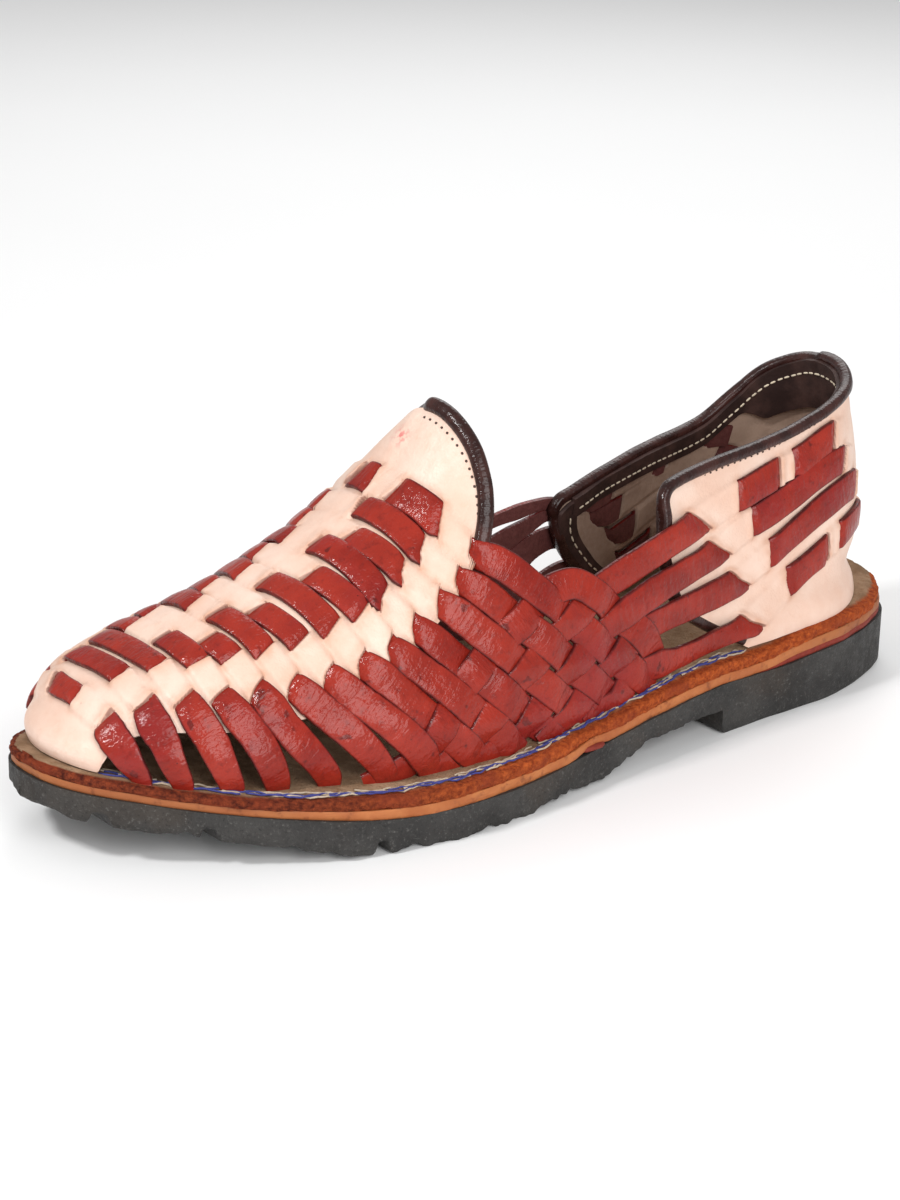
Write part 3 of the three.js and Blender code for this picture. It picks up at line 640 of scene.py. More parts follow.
# Straps of the vamp, from the toe back. Columns: the slit above the side (q, height), the dash's lower end
# (x, distance from the pattern's middle, skew), then the slit's skew, the foot on the insole (q, 0 for a
# strap that goes through the braid) and the dash's upper end (x, distance on the left and on the right)
VAMP_STRAPS = (
    (293.9, 13.7, 131.6, 6.6, -0.40, -0.18, 283.0, 131.9, 0.0, 0.0),
    (286.5, 19.5, 121.7, 10.4, -0.10, -0.21, 273.5, 122.0, 0.0, 0.0),
    (276.2, 22.1, 113.5, 15.0, -0.05, -0.24, 261.0, 114.0, 0.0, 0.0),
    (265.2, 24.1, 106.0, 20.0, 0.0, -0.21, 247.0, 106.5, 4.5, 9.5),
    (252.0, 26.0, 98.6, 21.1, -0.05, -0.45, 231.5, 100.3, 13.0, 13.0),
    (238.0, 27.1, 90.6, 22.2, -0.19, -0.43, 216.5, 93.0, 4.1, 6.0),
    (228.2, 29.2, 81.4, 24.0, -0.10, -0.43, 204.0, 85.7, 10.9, 11.0),
    (219.5, 31.9, 72.6, 25.2, -0.29, -0.60, 0.0, 78.1, 3.2, 6.5),
    (211.3, 34.8, 64.4, 26.0, -0.29, -0.80, 0.0, 69.5, 11.0, 12.0),
    (202.9, 38.8, 58.1, 25.7, -0.65, -0.70, 0.0, 62.5, 2.4, 9.0),
    (193.8, 44.1, 50.4, 23.5, -0.70, -0.55, 0.0, 55.8, 8.3, 13.0),
    (187.5, 48.7, 43.3, 21.9, -0.68, -0.62, 0.0, 48.2, 0.9, 15.0),
    (182.5, 54.9, 36.3, 20.6, -0.72, -0.85, 0.0, 40.1, 6.1, 3.4),
)
# The first five columns on the right, for the straps where they differ
VAMP_RIGHT = {
    1: (287.0, 12.5, 131.6, 5.8, 0.40),
    2: (279.5, 17.5, 121.7, 12.5, -0.40),
    3: (271.5, 20.5, 113.5, 14.4, -0.13),
    4: (262.5, 23.0, 106.0, 20.0, 0.0),
    12: (187.5, 48.7, 43.3, 23.5, -0.68),
    13: (182.5, 54.9, 39.2, 11.8, -0.20),
}
# The pattern's middle line moves aside towards the toe
AXIS_SHIFT, AXIS_SHIFT_X = -5.0, (92, 112)
# Front straps that fall straight to the insole: half widths of the first ones, stops at the foot (q ahead of
# it, height, level, how much narrower) and the bow's share of the way in the front ones and the others
RIB_HALVES = (3.9, 4.0, 4.2)
RIB_FOOT = ((0.0, -1.2, 0.1, 1.3), (0.6, 2.2, 0.3, 0.9))
RIB_BOWS, FRONT_RIBS, RIB_BOW_HIGH = (0.36, 0.48), 4, 0.55
# Way into the slit above the side: distance, level and half width. Half width and skew of the dashes
VAMP_APPROACH = ((6.5, ON_SHEET + 0.5, 4.5), (SLIT_RUN, ON_SHEET + 0.3, 3.9))
DASH_HALF, DASH_GROW, LAST_DASH_GROW, HIGH_SKEW = 3.35, 0.06, 0.7, 0.12
# Shares of the usual run at a tunnel's end and towards the middle, and how far ahead the middle lies
TUNNEL_END, MIDDLE_RUN, MIDDLE_AHEAD = 0.7, 0.6, 0.6

# Crossings of the braid on each side (q, height): that of falling strap BRAID_FROM with rising strap 0, the
# steps to the next strap of each kind, and a bow that grows with the square of the distance from falling
# strap BOW_FROM. Front strap BRAID_RIB crosses over the braid's start
BRAID_AT, FALL_STEP, RISE_STEP, BRAID_BOW = (172.0, 36.2), (-8.1, 5.1), (-8.9, -8.6), (-0.35, -0.28)
BRAID_FROM, BOW_FROM, BRAID_RIB = 12, 11, 7
LAST_FALLING, LAST_RISING, LAST_CROSSING = 14, 4, (117.5, 5.7)
LOWEST_CROSSING = 1.2
# Foot of a falling strap. Its level is a share of that of the crossing over it
FALL_FOOT, FALL_SLANT, FALL_FOOT_HALF, FALL_FOOT_SHARE = -1.5, 1.05, 4.0, -0.5
# Feet of the arch strap and where it turns over: q, height, level and half width. Its end is behind its last
# crossing
ARCH_FEET = ((222.0, -1.4, 0.2, 4.2), (216.5, 1.6, 0.0, 4.4))
ARCH_TURN = (152.8, 41.2, 0.4, WEAVE_HALF)
ARCH_END = (LAST_CROSSING[0] - 1.5, -1.2, -2.6, 3.6)


def pattern_point(x, aside):
    return top_point(x, aside + AXIS_SHIFT * float(smooth(x, *AXIS_SHIFT_X)))


def lattice(i, j):
    """Crossing of the side's falling strap i with its rising strap j, as q and height."""
    if (i, j) == (LAST_FALLING, LAST_RISING):
        return LAST_CROSSING
    bow = (i - BOW_FROM) ** 2
    steps = zip(BRAID_AT, FALL_STEP, RISE_STEP, BRAID_BOW)
    return tuple(at + fall * (i - BRAID_FROM) + rise * j + bend * bow for at, fall, rise, bend in steps)


def braid_stop(side, i, j, falling):
    """Stop of a falling or a rising strap at a crossing, over and under the other one by turns."""
    falling_is_over = (i + j) % 2 == 1
    return side_point(side, *lattice(i, j)), OVER if falling == falling_is_over else UNDER, WEAVE_HALF


def braid_stops(side, stops):
    return [(side_point(side, q, height), level, half) for q, height, level, half in stops]


def falling_stops(side, i):
    """Stops of falling strap i from its foot on the insole up to the braid's top."""
    crossed = [j for j in range(LAST_RISING + 1) if lattice(i, j)[1] > LOWEST_CROSSING]
    stops = [braid_stop(side, i, j, True) for j in reversed(crossed)]
    q, height = lattice(i, crossed[-1])
    foot = side_point(side, q - FALL_SLANT * (height - FALL_FOOT), FALL_FOOT)
    return [(foot, FALL_FOOT_SHARE * stops[0][1], FALL_FOOT_HALF)] + stops


def rib_stops(side, i, slit_q, slit_h, foot_q):
    """Stops of a front strap that falls straight from its slit to the insole."""
    half = RIB_HALVES[i - 1] if i <= len(RIB_HALVES) else RIB_HALF
    stops = []
    for ahead, height, level, narrower in RIB_FOOT:
        stops.append((wall_point(side * (foot_q + ahead), height), level, half - narrower))
    if i == BRAID_RIB:
        q, height = lattice(i, 0)
        stops.append((wall_point(side * q, height), OVER, RIB_HALF))
    bow = RIB_BOWS[0] if i <= FRONT_RIBS else RIB_BOWS[1]
    middle = wall_point(side * (foot_q + (slit_q - foot_q) * bow), slit_h * RIB_BOW_HIGH)
    return stops + [(middle, OVER, half)]


def vamp_route(side, i):
    """Route of vamp strap i from its foot on one side to the middle."""
    row = VAMP_STRAPS[i - 1]
    slit_skew, foot_q, high_x, left_y, right_y = row[5:]
    high_y = left_y if side > 0 else right_y
    slit_q, slit_h, low_x, low_y, low_skew = row[:5] if side > 0 else VAMP_RIGHT.get(i, row[:5])
    half = DASH_HALF + DASH_GROW * i + (LAST_DASH_GROW if i == len(VAMP_STRAPS) else 0.0)
    route = Route(rib_stops(side, i, slit_q, slit_h, foot_q) if foot_q else falling_stops(side, i))
    slit = wall_point(side * slit_q, slit_h)
    low = pattern_point(low_x, side * low_y)
    high = pattern_point(high_x, side * high_y)
    route.approach(slit, *VAMP_APPROACH)
    route.slit(slit, SLIT_HALF, side * slit_skew)
    route.stretch(slit, low, SLIT_RUN, SLIT_RUN * TUNNEL_END, IN_TUNNEL, SLIT_HALF)
    route.slit(low, half, side * low_skew)
    route.stop(toward(low, high, SLIT_RUN), ON_SHEET, half)
    if high_y:
        route.stop(toward(high, low, SLIT_RUN), ON_SHEET, half)
        route.slit(high, half, side * HIGH_SKEW)
        run = min(SLIT_RUN, high_y * MIDDLE_RUN)
        route.stop(toward(high, pattern_point(high_x, 0.0), run), IN_TUNNEL, half)
    return route


def vamp_strap(i):
    route = vamp_route(1, i)
    high_x, high_y, _ = VAMP_STRAPS[i - 1][-3:]
    level, ahead = (IN_TUNNEL, MIDDLE_AHEAD) if high_y else (ON_SHEET, 0.0)
    route.stop(pattern_point(high_x + ahead, 0.0), level, route.stops[-1][2])
    route.join(vamp_route(-1, i))
    strap = Strap(route)
    strap.weave(len(route.slits) - 1)
    return strap


# Straps laced into the counter. Each row: slit (q, height), then dashes from front to back (q, height pairs)
LEFT_ROWS = (
    ((99.0, 42.4), ((82.5, 44.5), (64.5, 47.2)), ((58.0, 48.2), (39.0, 53.7))),
    ((91.5, 31.8), ((77.5, 35.6), (34.5, 46.0))),
    ((83.0, 19.9), ((70.0, 24.0), (27.5, 36.7))),
    ((79.5, 6.2), ((62.0, 13.2), (44.0, 20.6)), ((38.5, 22.6), (21.5, 24.8))),
)
# Those of the right side lie lower, under its lower collar
RIGHT_ROWS = (
    ((97.5, 31.2), ((82.5, 33.2), (64.5, 35.4)), ((58.0, 36.4), (41.0, 40.8))),
    ((90.5, 24.4), ((77.5, 26.0), (36.0, 34.2))),
    ((82.0, 15.8), ((70.0, 18.2), (29.0, 27.2))),
    ((75.0, 6.2), ((62.0, 10.4), (44.0, 16.0)), ((38.5, 17.6), (22.5, 20.0))),
)
# Where the straps run free in front of the counter: q, height and half width
LEFT_FREE = ((), (), (), ((111.0, 4.9, 3.4), (103.5, 4.3, 3.3), (96.5, 4.4, 3.3), (90.0, 5.0, 3.3)))
RIGHT_FREE = (
    ((131.4, 35.2, 2.0), (121.0, 35.8, 2.5), (110.0, 35.3, 2.1)),
    ((122.0, 28.0, 4.0), (115.0, 29.8, 3.1), (108.5, 31.0, 2.0)),
    ((115.0, 21.0, 4.5), (105.0, 22.6, 3.8)),
    ((110.0, 7.0, 3.8), (101.0, 9.0, 3.8)),
)
# Rows, free stretches and half width of each side
COUNTER_SIDES = {1: (LEFT_ROWS, LEFT_FREE, 4.4), -1: (RIGHT_ROWS, RIGHT_FREE, 3.6)}
# Foot of a rising strap: stops ahead of its first crossing (q, level, half width) and their heights
COUNTER_FOOT = ((12.5, 0.3, 4.2), (7.0, 0.2, 4.4))
FIRST_CROSSED, FOOT_LOW, FOOT_HIGH, FOOT_RISE = 8, -1.4, 0.8, 0.35
# Slits and dashes of the counter, and the tail that ends below it
COUNTER_SLIT_SKEW, COUNTER_DASH_SKEW = -0.85, 0.3
COUNTER_APPROACH, COUNTER_SLIT_LEVEL, TUNNEL_SHARE = 6.0, ON_SHEET + 0.2, 0.4
TAIL, TAIL_FADE = 10.0, 7.0


def counter_foot(side, q, height):
    """Stops of a rising strap on the insole, ahead of its first crossing."""
    heights = (FOOT_LOW, max(height * FOOT_RISE, FOOT_HIGH))
    return [(side_point(side, q + ahead, at), level, half)
            for (ahead, level, half), at in zip(COUNTER_FOOT, heights)]


def counter_strap(side, j):
    """Rising strap j from its foot through the braid to the counter."""
    crossed = [i for i in range(FIRST_CROSSED, LAST_FALLING + 1) if lattice(i, j)[1] > LOWEST_CROSSING]
    route = Route(counter_foot(side, *lattice(crossed[0], j)))
    route.stops += [braid_stop(side, i, j, False) for i in crossed]
    rows, free, half = COUNTER_SIDES[side]
    free_half = half
    for q, height, free_half in free[j - 1]:
        route.stop(wall_point(side * q, height), FREE_LEVEL, free_half)
    slit, *dashes = rows[j - 1]
    before = wall_point(side * slit[0], slit[1])
    route.approach(before, (COUNTER_APPROACH, FREE_LEVEL, free_half),
                   (SLIT_RUN, COUNTER_SLIT_LEVEL, (half + free_half) / 2))
    route.slit(before, half, side * COUNTER_SLIT_SKEW)
    for dash in dashes:
        start, end = (wall_point(side * q, height) for q, height in dash)
        near = min(SLIT_RUN, np.linalg.norm(start - before) * TUNNEL_SHARE)
        route.stretch(before, start, near, near, IN_TUNNEL, half)
        route.slit(start, half, side * COUNTER_DASH_SKEW)
        route.stretch(start, end, SLIT_RUN, SLIT_RUN, ON_SHEET, half)
        route.slit(end, half, side * COUNTER_DASH_SKEW)
        before = end
    route.stop(toward(end, 2 * end - start, SLIT_RUN), IN_TUNNEL, half)
    route.slit(toward(end, 2 * end - start, TAIL), half, 0.0, IN_TUNNEL)
    strap = Strap(route)
    last = len(route.slits) - 2
    strap.weave(last)
    strap.window(last, -1, TAIL_FADE)
    return strap


def arch_strap(side):
    """Strap that rises through the braid, turns over at its top and falls behind."""
    stops = braid_stops(side, ARCH_FEET)
    stops += [braid_stop(side, i, 0, False) for i in range(BRAID_RIB, LAST_FALLING)]
    stops += braid_stops(side, [ARCH_TURN])
    stops += [braid_stop(side, LAST_FALLING, j, True) for j in range(1, LAST_RISING + 1)]
    return Strap(Route(stops + braid_stops(side, [ARCH_END])))


# Leather sheets

# A sheet's level over a tunnel and under a dash, the stain round a slit, and how far a strap acts
TUNNEL_RISE, DASH_SINK, STAIN_WIDE, STRAP_REACH = 0.85, -0.55, 2.6, 14.0
# Raised lip beside a slit, the width of the painted shade along a slit, and how relief and painted slit shade
# fade beside the strap's edge
LIP_RISE, LIP_AT, LIP_WIDE, SLIT_SHADE_WIDE = 0.4, 1.2, 1.4, 0.7
RELIEF_EDGE, SLIT_SHADE_EDGE = (-0.8, 1.0), (-0.2, 0.9)
# Lower edge of the vamp: q and height
VAMP_EDGE_Q = (178.5, 182, 187, 195, 204, 217, 227, 237, 251, 264, 276, 285, 288.5, 290.6, 292.2, 309)
VAMP_EDGE_H = (56.0, 49.6, 43.7, 37.0, 31.0, 23.0, 20.6, 18.4, 16.5, 15.2, 14.3, 12.0, 9.5, 3.5, 0.4, 0.4)
vamp_edge = column(VAMP_EDGE_Q, VAMP_EDGE_H)
# Rows of the vamp's grid from the tongue to the toe: start, stop and count, finer round the front corner
VAMP_ROWS = ((TONGUE_Q[1], 286, 140), (286.4, 293, 22), (293.6, Q_END, 28))
VAMP_COLUMNS, TONGUE_FADE = 118, 45.0
# The vamp's edge sinks a little, and its right side swells beside the tongue
EDGE_SINK, EDGE_SINK_HIGH, EDGE_SINK_TO = -0.35, 4.0, 291.0
SWELL, SWELL_Q, SWELL_TOP, SWELL_FOOT = 0.9, (178, 205), (0.0, 0.1), (0.6, 0.8)
# Pink blot on the tongue: x and distance from the middle, and size
PINK_SPOT, PINK_SIZE = (30.3, -4.5), 2.6
# Front edge of the counter: q at shares of its height
COUNTER_FRONT_T = (0.0, 0.16, 0.34, 0.75, 0.92, 1.0)
COUNTER_FRONT_LEFT = (80.0, 95.0, 106.5, 113.0, 112.0, 106.0)
COUNTER_FRONT_RIGHT = (80.0, 90.5, 98.0, 106.6, 107.2, 101.5)
front_edge = two_sided(COUNTER_FRONT_T, COUNTER_FRONT_LEFT, COUNTER_FRONT_RIGHT)
COUNTER_ROWS, COUNTER_COLUMNS = 400, 112
# The counter's foot lies over the insole at the back and lower beside it, its front ends inside the form
COUNTER_LIFT, COUNTER_DROP, COUNTER_DROP_Q = 0.6, 2.2, (26, 50)
TUCK, TUCK_AT = -1.1, (0.86, 0.99)


def woven_relief(s, v, straps):
    """Rise of a sheet over and under its straps, the painted shade along its slits, and the stains round
    them.
    """
    points = form(s, v).reshape(-1, 3)
    best = np.full(len(points), 1e9)
    rise, slit, stain = np.zeros((3, len(points)))
    for strap in straps:
        along, across, far, half = strap.local(points)
        width = np.abs(across)
        close = (width < best) & (far < STRAP_REACH)
        best = np.where(close, width, best)
        own_rise, own_slit_shade = np.zeros((2, len(points)))
        for start, start_skew, end, end_skew, state, fade in strap.windows:
            after = along - start - start_skew * across
            ahead = end + end_skew * across - along
            soft = fade > SLIT_SHARP
            edge = after if soft else np.minimum(after, ahead)
            inside = smooth(after, -SLIT_SHARP, SLIT_SHARP) * smooth(ahead, -SLIT_SHARP, fade)
            lip = 1 + LIP_RISE * hump(edge, LIP_AT, LIP_WIDE)
            own_rise += inside * (TUNNEL_RISE * lip if state < 0 else DASH_SINK)
            near = np.abs(after) if soft else np.minimum(np.abs(after), np.abs(ahead))
            # Painted shade: a dark band along each slit, standing in for the shade in the cut where the strap
            # dives under the sheet
            own_slit_shade = np.maximum(own_slit_shade, hump(near, 0, SLIT_SHADE_WIDE))
            halo = hump(near, 0, STAIN_WIDE) * (1 - smooth(width, half, half + STAIN_WIDE))
            stain = np.maximum(stain, np.where(far < STRAP_REACH, halo, 0))
        beside = [1 - smooth(width - half, *edge) for edge in (RELIEF_EDGE, SLIT_SHADE_EDGE)]
        rise = np.where(close, own_rise * beside[0], rise)
        slit = np.where(close, own_slit_shade * beside[1], slit)
    return [values.reshape(s.shape) for values in (rise, slit, stain)]


def vamp_mesh(straps):
    """Vamp from the tongue's edge to the toe, over the spine from one lower edge to the other."""
    first = TONGUE_Q[1]
    steps = np.concatenate([np.linspace(*part) for part in VAMP_ROWS])
    up, side = over_spine(0, VAMP_COLUMNS)
    low = np.stack([at_height(k * steps, vamp_edge(steps)) for k in SIDES], -1)
    low[0] = TONGUE_FOOT
    foot = np.where(side > 0, low[:, :1], low[:, 1:])
    v = foot + (1 - foot) * up
    hold = np.maximum(0, 1 - (steps - first) / TONGUE_FADE)[:, None]
    q = steps[:, None] + (tongue_q(v) + TONGUE_BIND * 0.5 - first) * hold
    s = side * q
    rise, slit, stain = woven_relief(s, v, straps)
    points = form(s, v)
    height = points[..., 2] - insole_top(points[..., 0])
    rise = rise + EDGE_SINK * (1 - smooth(height - vamp_edge(q), 0, EDGE_SINK_HIGH)) * (q < EDGE_SINK_TO)
    swell = (1 - smooth(q, *SWELL_Q)) * smooth(1 - v, *SWELL_TOP) * smooth(v, *SWELL_FOOT)
    rise = rise + SWELL * (side < 0) * swell
    pink = hump(np.linalg.norm(points - top_point(*PINK_SPOT), axis=-1), 0, PINK_SIZE)
    # The mark slit carries painted shade along the slits
    return sheet_mesh(s, v, rise, SHEET_THICK, slit=slit, stain=stain, pink=pink)


def rim(s):
    """Height of the counter's upper edge, inside its rolled edge."""
    return collar(s) - COLLAR_BIND * 0.5


def counter_front(t, side):
    """q of the counter's front edge at a share t of its height, on the left (1) or the right (-1)."""
    return front_edge(t, np.asarray(side) >= 0)


def beside_front(side, t, inset):
    """(s, v) at a share t of the counter's height, a distance behind its front edge."""
    s = side * (counter_front(t, side) - inset)
    return s, at_height(s, t * rim(s))


def counter_tuck(s):
    """How far the counter's front ends lie inside the form, at s along the collar."""
    return TUCK * smooth(np.abs(s) / counter_front(1.0, np.sign(s)), *TUCK_AT)


def tuck_place(s, t):
    """Place along the collar with the same tuck as at s and the share t of the counter's height."""
    return s / counter_front(t, np.sign(s)) * counter_front(1.0, np.sign(s))


def counter_mesh(straps):
    """Counter from its right front edge round the heel to its left one."""
    along = np.linspace(-1, 1, COUNTER_ROWS)[:, None]
    up = np.linspace(0, 1, COUNTER_COLUMNS)[None, :]
    s = along * counter_front(up, along)
    foot = COUNTER_LIFT - COUNTER_DROP * smooth(np.abs(s), *COUNTER_DROP_Q)
    v = at_height(s, up * rim(s) + foot * (1 - up))
    rise, slit, stain = woven_relief(s, v, straps)
    rise = rise + counter_tuck(tuck_place(s, up))
    # The mark slit carries painted shade along the slits
    return sheet_mesh(s, v, rise, SHEET_THICK, slit=slit, stain=stain, pink=0 * slit)


# Rolled edges, linings and stitches

# The vamp's rolled edge: its share of width inside the tongue's edge, and its sink, more on the right
VAMP_BIND_SHARE, VAMP_BIND_UP, VAMP_BIND_COUNT = 0.3, 0.002, 170
VAMP_BIND_SINK, VAMP_BIND_RIGHT_SINK, VAMP_BIND_RIGHT = 0.3, 1.5, (0.0, 0.08)
# Stops of the counter's rolled edge: shares of the front edge's height, the corner (ahead, below) and q back
# along the collar
FRONT_SHARES, FRONT_INSET = (0.02, 0.16, 0.34, 0.55, 0.75, 0.88), 0.3
CORNER_STOPS = ((6.2, 3.4), (4.0, 0.8), (0.0, 0.0))
COLLAR_STOPS = (96, 88, 76, 64, 52, 42, 32, 22, 12)
# It goes inwards along the front edges, most at their foot
EDGE_INSET, EDGE_INSET_Q = -0.9, (70, 108)
LOW_INSET, LOW_INSET_T = -1.7, (0.62, 0.86)
# Lining strip along the collar, deeper at the heel, and strips behind the counter's front edges
LINING_THICK, LINING_GAP, LINING_MORE, LINING_GRID = 1.5, 0.15, 1.0, (260, 14)
LINING_DEPTH, LINING_HEEL_DEPTH, LINING_HEEL_Q = 7.0, 16.0, (18, 30)
FRONT_LINING_WIDE, FRONT_LINING_T, FRONT_LINING_COLUMNS = 7.0, (0.04, 0.97, 90), 10
# Rows of stitches and of holes: spacing, length and radius, then where they lie
STITCH_SPREAD, THREAD_SINK, HOLE_LIFT, COLLAR_COUNT = 0.12, 0.05, 0.02, 500
COLLAR_STITCH, COLLAR_STITCH_BELOW = (2.4, 1.8, 0.34), 2.6
COLLAR_HOLE, COLLAR_HOLE_BELOW = (2.5, 0.8, 0.28), 0.25
FRONT_STITCH, FRONT_STITCH_T, FRONT_STITCH_INSET = (3.4, 2.4, 0.30), (0.9, 0.1, 120), 4.0
TONGUE_HOLE, TONGUE_HOLE_UP, TONGUE_HOLE_COUNT = (2.5, 0.8, 0.36), 0.02, 200
TONGUE_HOLE_IN = TONGUE_BIND * 0.8 + 0.3


def vamp_binding_mesh():
    v, side = over_spine(TONGUE_FOOT + VAMP_BIND_UP, VAMP_BIND_COUNT)
    s = side * (tongue_q(v) + TONGUE_BIND * VAMP_BIND_SHARE)
    right = smooth(1 - v, *VAMP_BIND_RIGHT) * (s < 0)
    normal = outward(s, v)
    line = form(s, v) - normal * (VAMP_BIND_SINK + VAMP_BIND_RIGHT_SINK * right)[:, None]
    return rolled_edge(line, normal, TONGUE_BIND, TONGUE_BIND_THICK)


def counter_binding_stops(side):
    """(s, height) up the front edge of one side and back along the collar."""
    stops = []
    for t in FRONT_SHARES:
        s = side * (counter_front(t, side) - FRONT_INSET)
        stops.append((s, t * rim(s)))
    corner = counter_front(1.0, side)
    stops += [(side * (corner + ahead), rim(side * corner) - below) for ahead, below in CORNER_STOPS]
    return stops + [(side * q, rim(side * q)) for q in COLLAR_STOPS]


def counter_binding_mesh():
    stops = counter_binding_stops(1) + [(0.0, rim(0.0))] + counter_binding_stops(-1)[::-1]
    s, v = project(spline([wall_point(*stop) for stop in stops], 1.0)[0])
    line, normal = form(s, v), outward(s, v)
    low = 1 - smooth((line[:, 2] - insole_top(line[:, 0])) / collar(s), *LOW_INSET_T)
    inset = EDGE_INSET * smooth(np.abs(s), *EDGE_INSET_Q) + LOW_INSET * low * (np.abs(s) > EDGE_INSET_Q[0])
    return rolled_edge(line + normal * inset[:, None], normal, COLLAR_BIND, COLLAR_BIND_THICK)


def lining_off(s):
    return counter_tuck(s) - SHEET_THICK - LINING_GAP


def collar_line(count, more=0.0):
    """s from one front end of the collar to the other, and a little more."""
    return np.linspace(-COUNTER_FRONT_RIGHT[-1] - more, COUNTER_FRONT_LEFT[-1] + more, count)


def collar_lining_mesh():
    s = collar_line(LINING_GRID[0], LINING_MORE)[:, None]
    up = np.linspace(0, 1, LINING_GRID[1])[None, :]
    depth = LINING_DEPTH + (LINING_HEEL_DEPTH - LINING_DEPTH) * (1 - smooth(np.abs(s), *LINING_HEEL_Q))
    v = at_height(s, rim(s) - depth * (1 - up))
    return sheet_mesh(s + 0 * up, v, lining_off(s) + 0 * up, LINING_THICK)


def front_lining_mesh(side):
    t = np.linspace(*FRONT_LINING_T)[:, None]
    inset = FRONT_LINING_WIDE * np.linspace(1, 0, FRONT_LINING_COLUMNS)[None, ::-side]
    s, v = beside_front(side, t, inset)
    return sheet_mesh(s, v, lining_off(tuck_place(s, t)), LINING_THICK)


def stitch_mesh(s, v, off, facing, spacing, length, radius):
    """Row of short stitches along a line of (s, v) at a level over the form, facing out (1) or in (-1)."""
    line = form(s, v) + outward(s, v) * np.reshape(off, (-1, 1))
    arc = arc_length(line)
    at = np.arange(spacing, arc[-1] - spacing, spacing)
    at = at + rng.normal(0, STITCH_SPREAD, len(at))
    runs = unit(sample(at, arc, unit(np.gradient(line, axis=0))))
    normals = unit(sample(at, arc, outward(s, v) * facing))
    return capsules(sample(at, arc, line), runs, normals, length, radius)


def collar_row_mesh(below, off, facing, sizes):
    """Stitches along the collar, below its rolled edge."""
    s = collar_line(COLLAR_COUNT)
    return stitch_mesh(s, at_height(s, collar(s) - COLLAR_BIND - below), off(s), facing, *sizes)


def lining_face(s):
    return lining_off(s) - LINING_THICK - THREAD_SINK


def collar_face(s):
    return counter_tuck(s) + HOLE_LIFT


def front_stitch_mesh(side):
    t = np.linspace(*FRONT_STITCH_T)
    s, v = beside_front(side, t, FRONT_STITCH_INSET)
    return stitch_mesh(s, v, lining_face(tuck_place(s, t)), -1, *FRONT_STITCH)


def tongue_hole_mesh():
    v, side = over_spine(TONGUE_FOOT + TONGUE_HOLE_UP, TONGUE_HOLE_COUNT)
    return stitch_mesh(side * (tongue_q(v) + TONGUE_HOLE_IN), v, THREAD_SINK, 1, *TONGUE_HOLE)


# Sole


def outline_halves(side):
    """Half widths of the sole's outline on one side, at the shares OUTLINE_AT of its length."""
    heel = HEEL_WIDTH / 2
    waist = WAIST_WIDTH / 2 + side * WAIST_SHIFT
    ball = BALL_WIDTH / 2 + side * BALL_SHIFT
    fuller = TOE_FULLER if side < 0 else 0.0
    fore = BALL_WIDTH * FORE_SHARE + side * BALL_SHIFT + fuller
    return heel, heel, waist, ball, fore, BALL_WIDTH * TIP_SHARE + fuller


outline = two_sided(OUTLINE_AT, outline_halves(1), outline_halves(-1))
underside_rear = column(UNDERSIDE_X, UNDERSIDE_Z)


def sole_edge(x, margin, side):
    """y of the sole's outline on one side, moved out by a margin."""
    half = SOLE_LENGTH / 2 + margin
    s = np.clip((x / half + 1) / 2, 0, 1)
    heel = np.sqrt(np.clip(1 - (np.maximum(HEEL_END - s, 0) / HEEL_END) ** 2, 0, 1))
    toe = np.clip(1 - (np.maximum(s - 1 + TOE_END, 0) / TOE_END) ** TOE_POWER, 0, 1) ** (1 / TOE_POWER)
    turn = np.clip((s - TOE_SHIFT_AT) / TOE_SHIFT_LONG, 0, 1) ** TOE_SHIFT_POWER
    return CENTRE_Y - TOE_SHIFT * turn + side * (outline(s, side > 0) + margin) * np.where(s < 0.5, heel, toe)


def sole_stations(stop, margin, step, short=0.03, fine_count=6000):
    """x of stations about evenly spaced along the outline, from the heel's end to stop."""
    half = SOLE_LENGTH / 2 + margin - short
    fine = -np.cos(np.linspace(0, math.pi, fine_count)) * half
    runs = [np.hypot(np.diff(fine), np.diff(sole_edge(fine, margin, side))) for side in SIDES]
    length = np.concatenate([[0], np.cumsum(np.maximum(*runs))])
    length, fine = length[fine <= stop], fine[fine <= stop]
    return np.interp(np.linspace(0, length[-1], int(length[-1] / step)), length, fine)


def edge_normals(x, y, side):
    """Outward directions along a line of edge points that runs to the toe."""
    run = unit(np.stack([np.gradient(x), np.gradient(y)], -1))
    return np.stack([-run[:, 1], run[:, 0]], -1) * side


def sole_layer(stop, margin, top, bottom, edge_move, step=1.1, rows=7, across=14, droop=0.0):
    """Closed plate with the sole's outline, from the heel's end to stop. edge_move(t, x, place) moves its
    edge outwards, t from top 0 to bottom 1. The top's rim droops."""
    x = sole_stations(stop, margin, step)
    high, low = top(x), bottom(x)
    share = np.linspace(0, 1, rows)

    def wall(t, side):
        y = sole_edge(x, margin, side)
        out = edge_normals(x, y, side)
        z = high + (low - high) * t - droop * (1 - t) ** DROOP_POWER
        move = edge_move(t, x, WAVE_RUN[0] * x + WAVE_RUN[1] * y)
        return np.stack([x + out[:, 0] * move, y + out[:, 1] * move, z], -1)

    def flat(a, b, z):
        lines = [a + (b - a) * m for m in np.linspace(0, 1, across + 2)[1:-1]]
        for line in lines:
            line[:, 2] = z
        return lines

    left = [wall(t, 1) for t in share]
    right = [wall(t, -1) for t in share[::-1]]
    points = np.stack(left + flat(left[-1], right[0], low) + right + flat(right[-1], left[0], high), 1)
    n, ring = points.shape[:2]
    faces = [tuple(reversed(f)) for f in tube_faces(n, ring)]
    raw = np.tile(([1.0] * rows + [0.0] * across) * 2, (n, 1))
    raw[0], raw[-1] = 1.0, 1.0
    return points.reshape(-1, 3), faces, {"side": raw.ravel()}


def underside(x):
    rise = insole_top(x) - FORE_TOP + TOE_LIFT * smooth(x, *TOE_LIFT_X)
    return np.maximum(underside_rear(x), np.where(x > UNDERSIDE_X[-1], rise, 0))


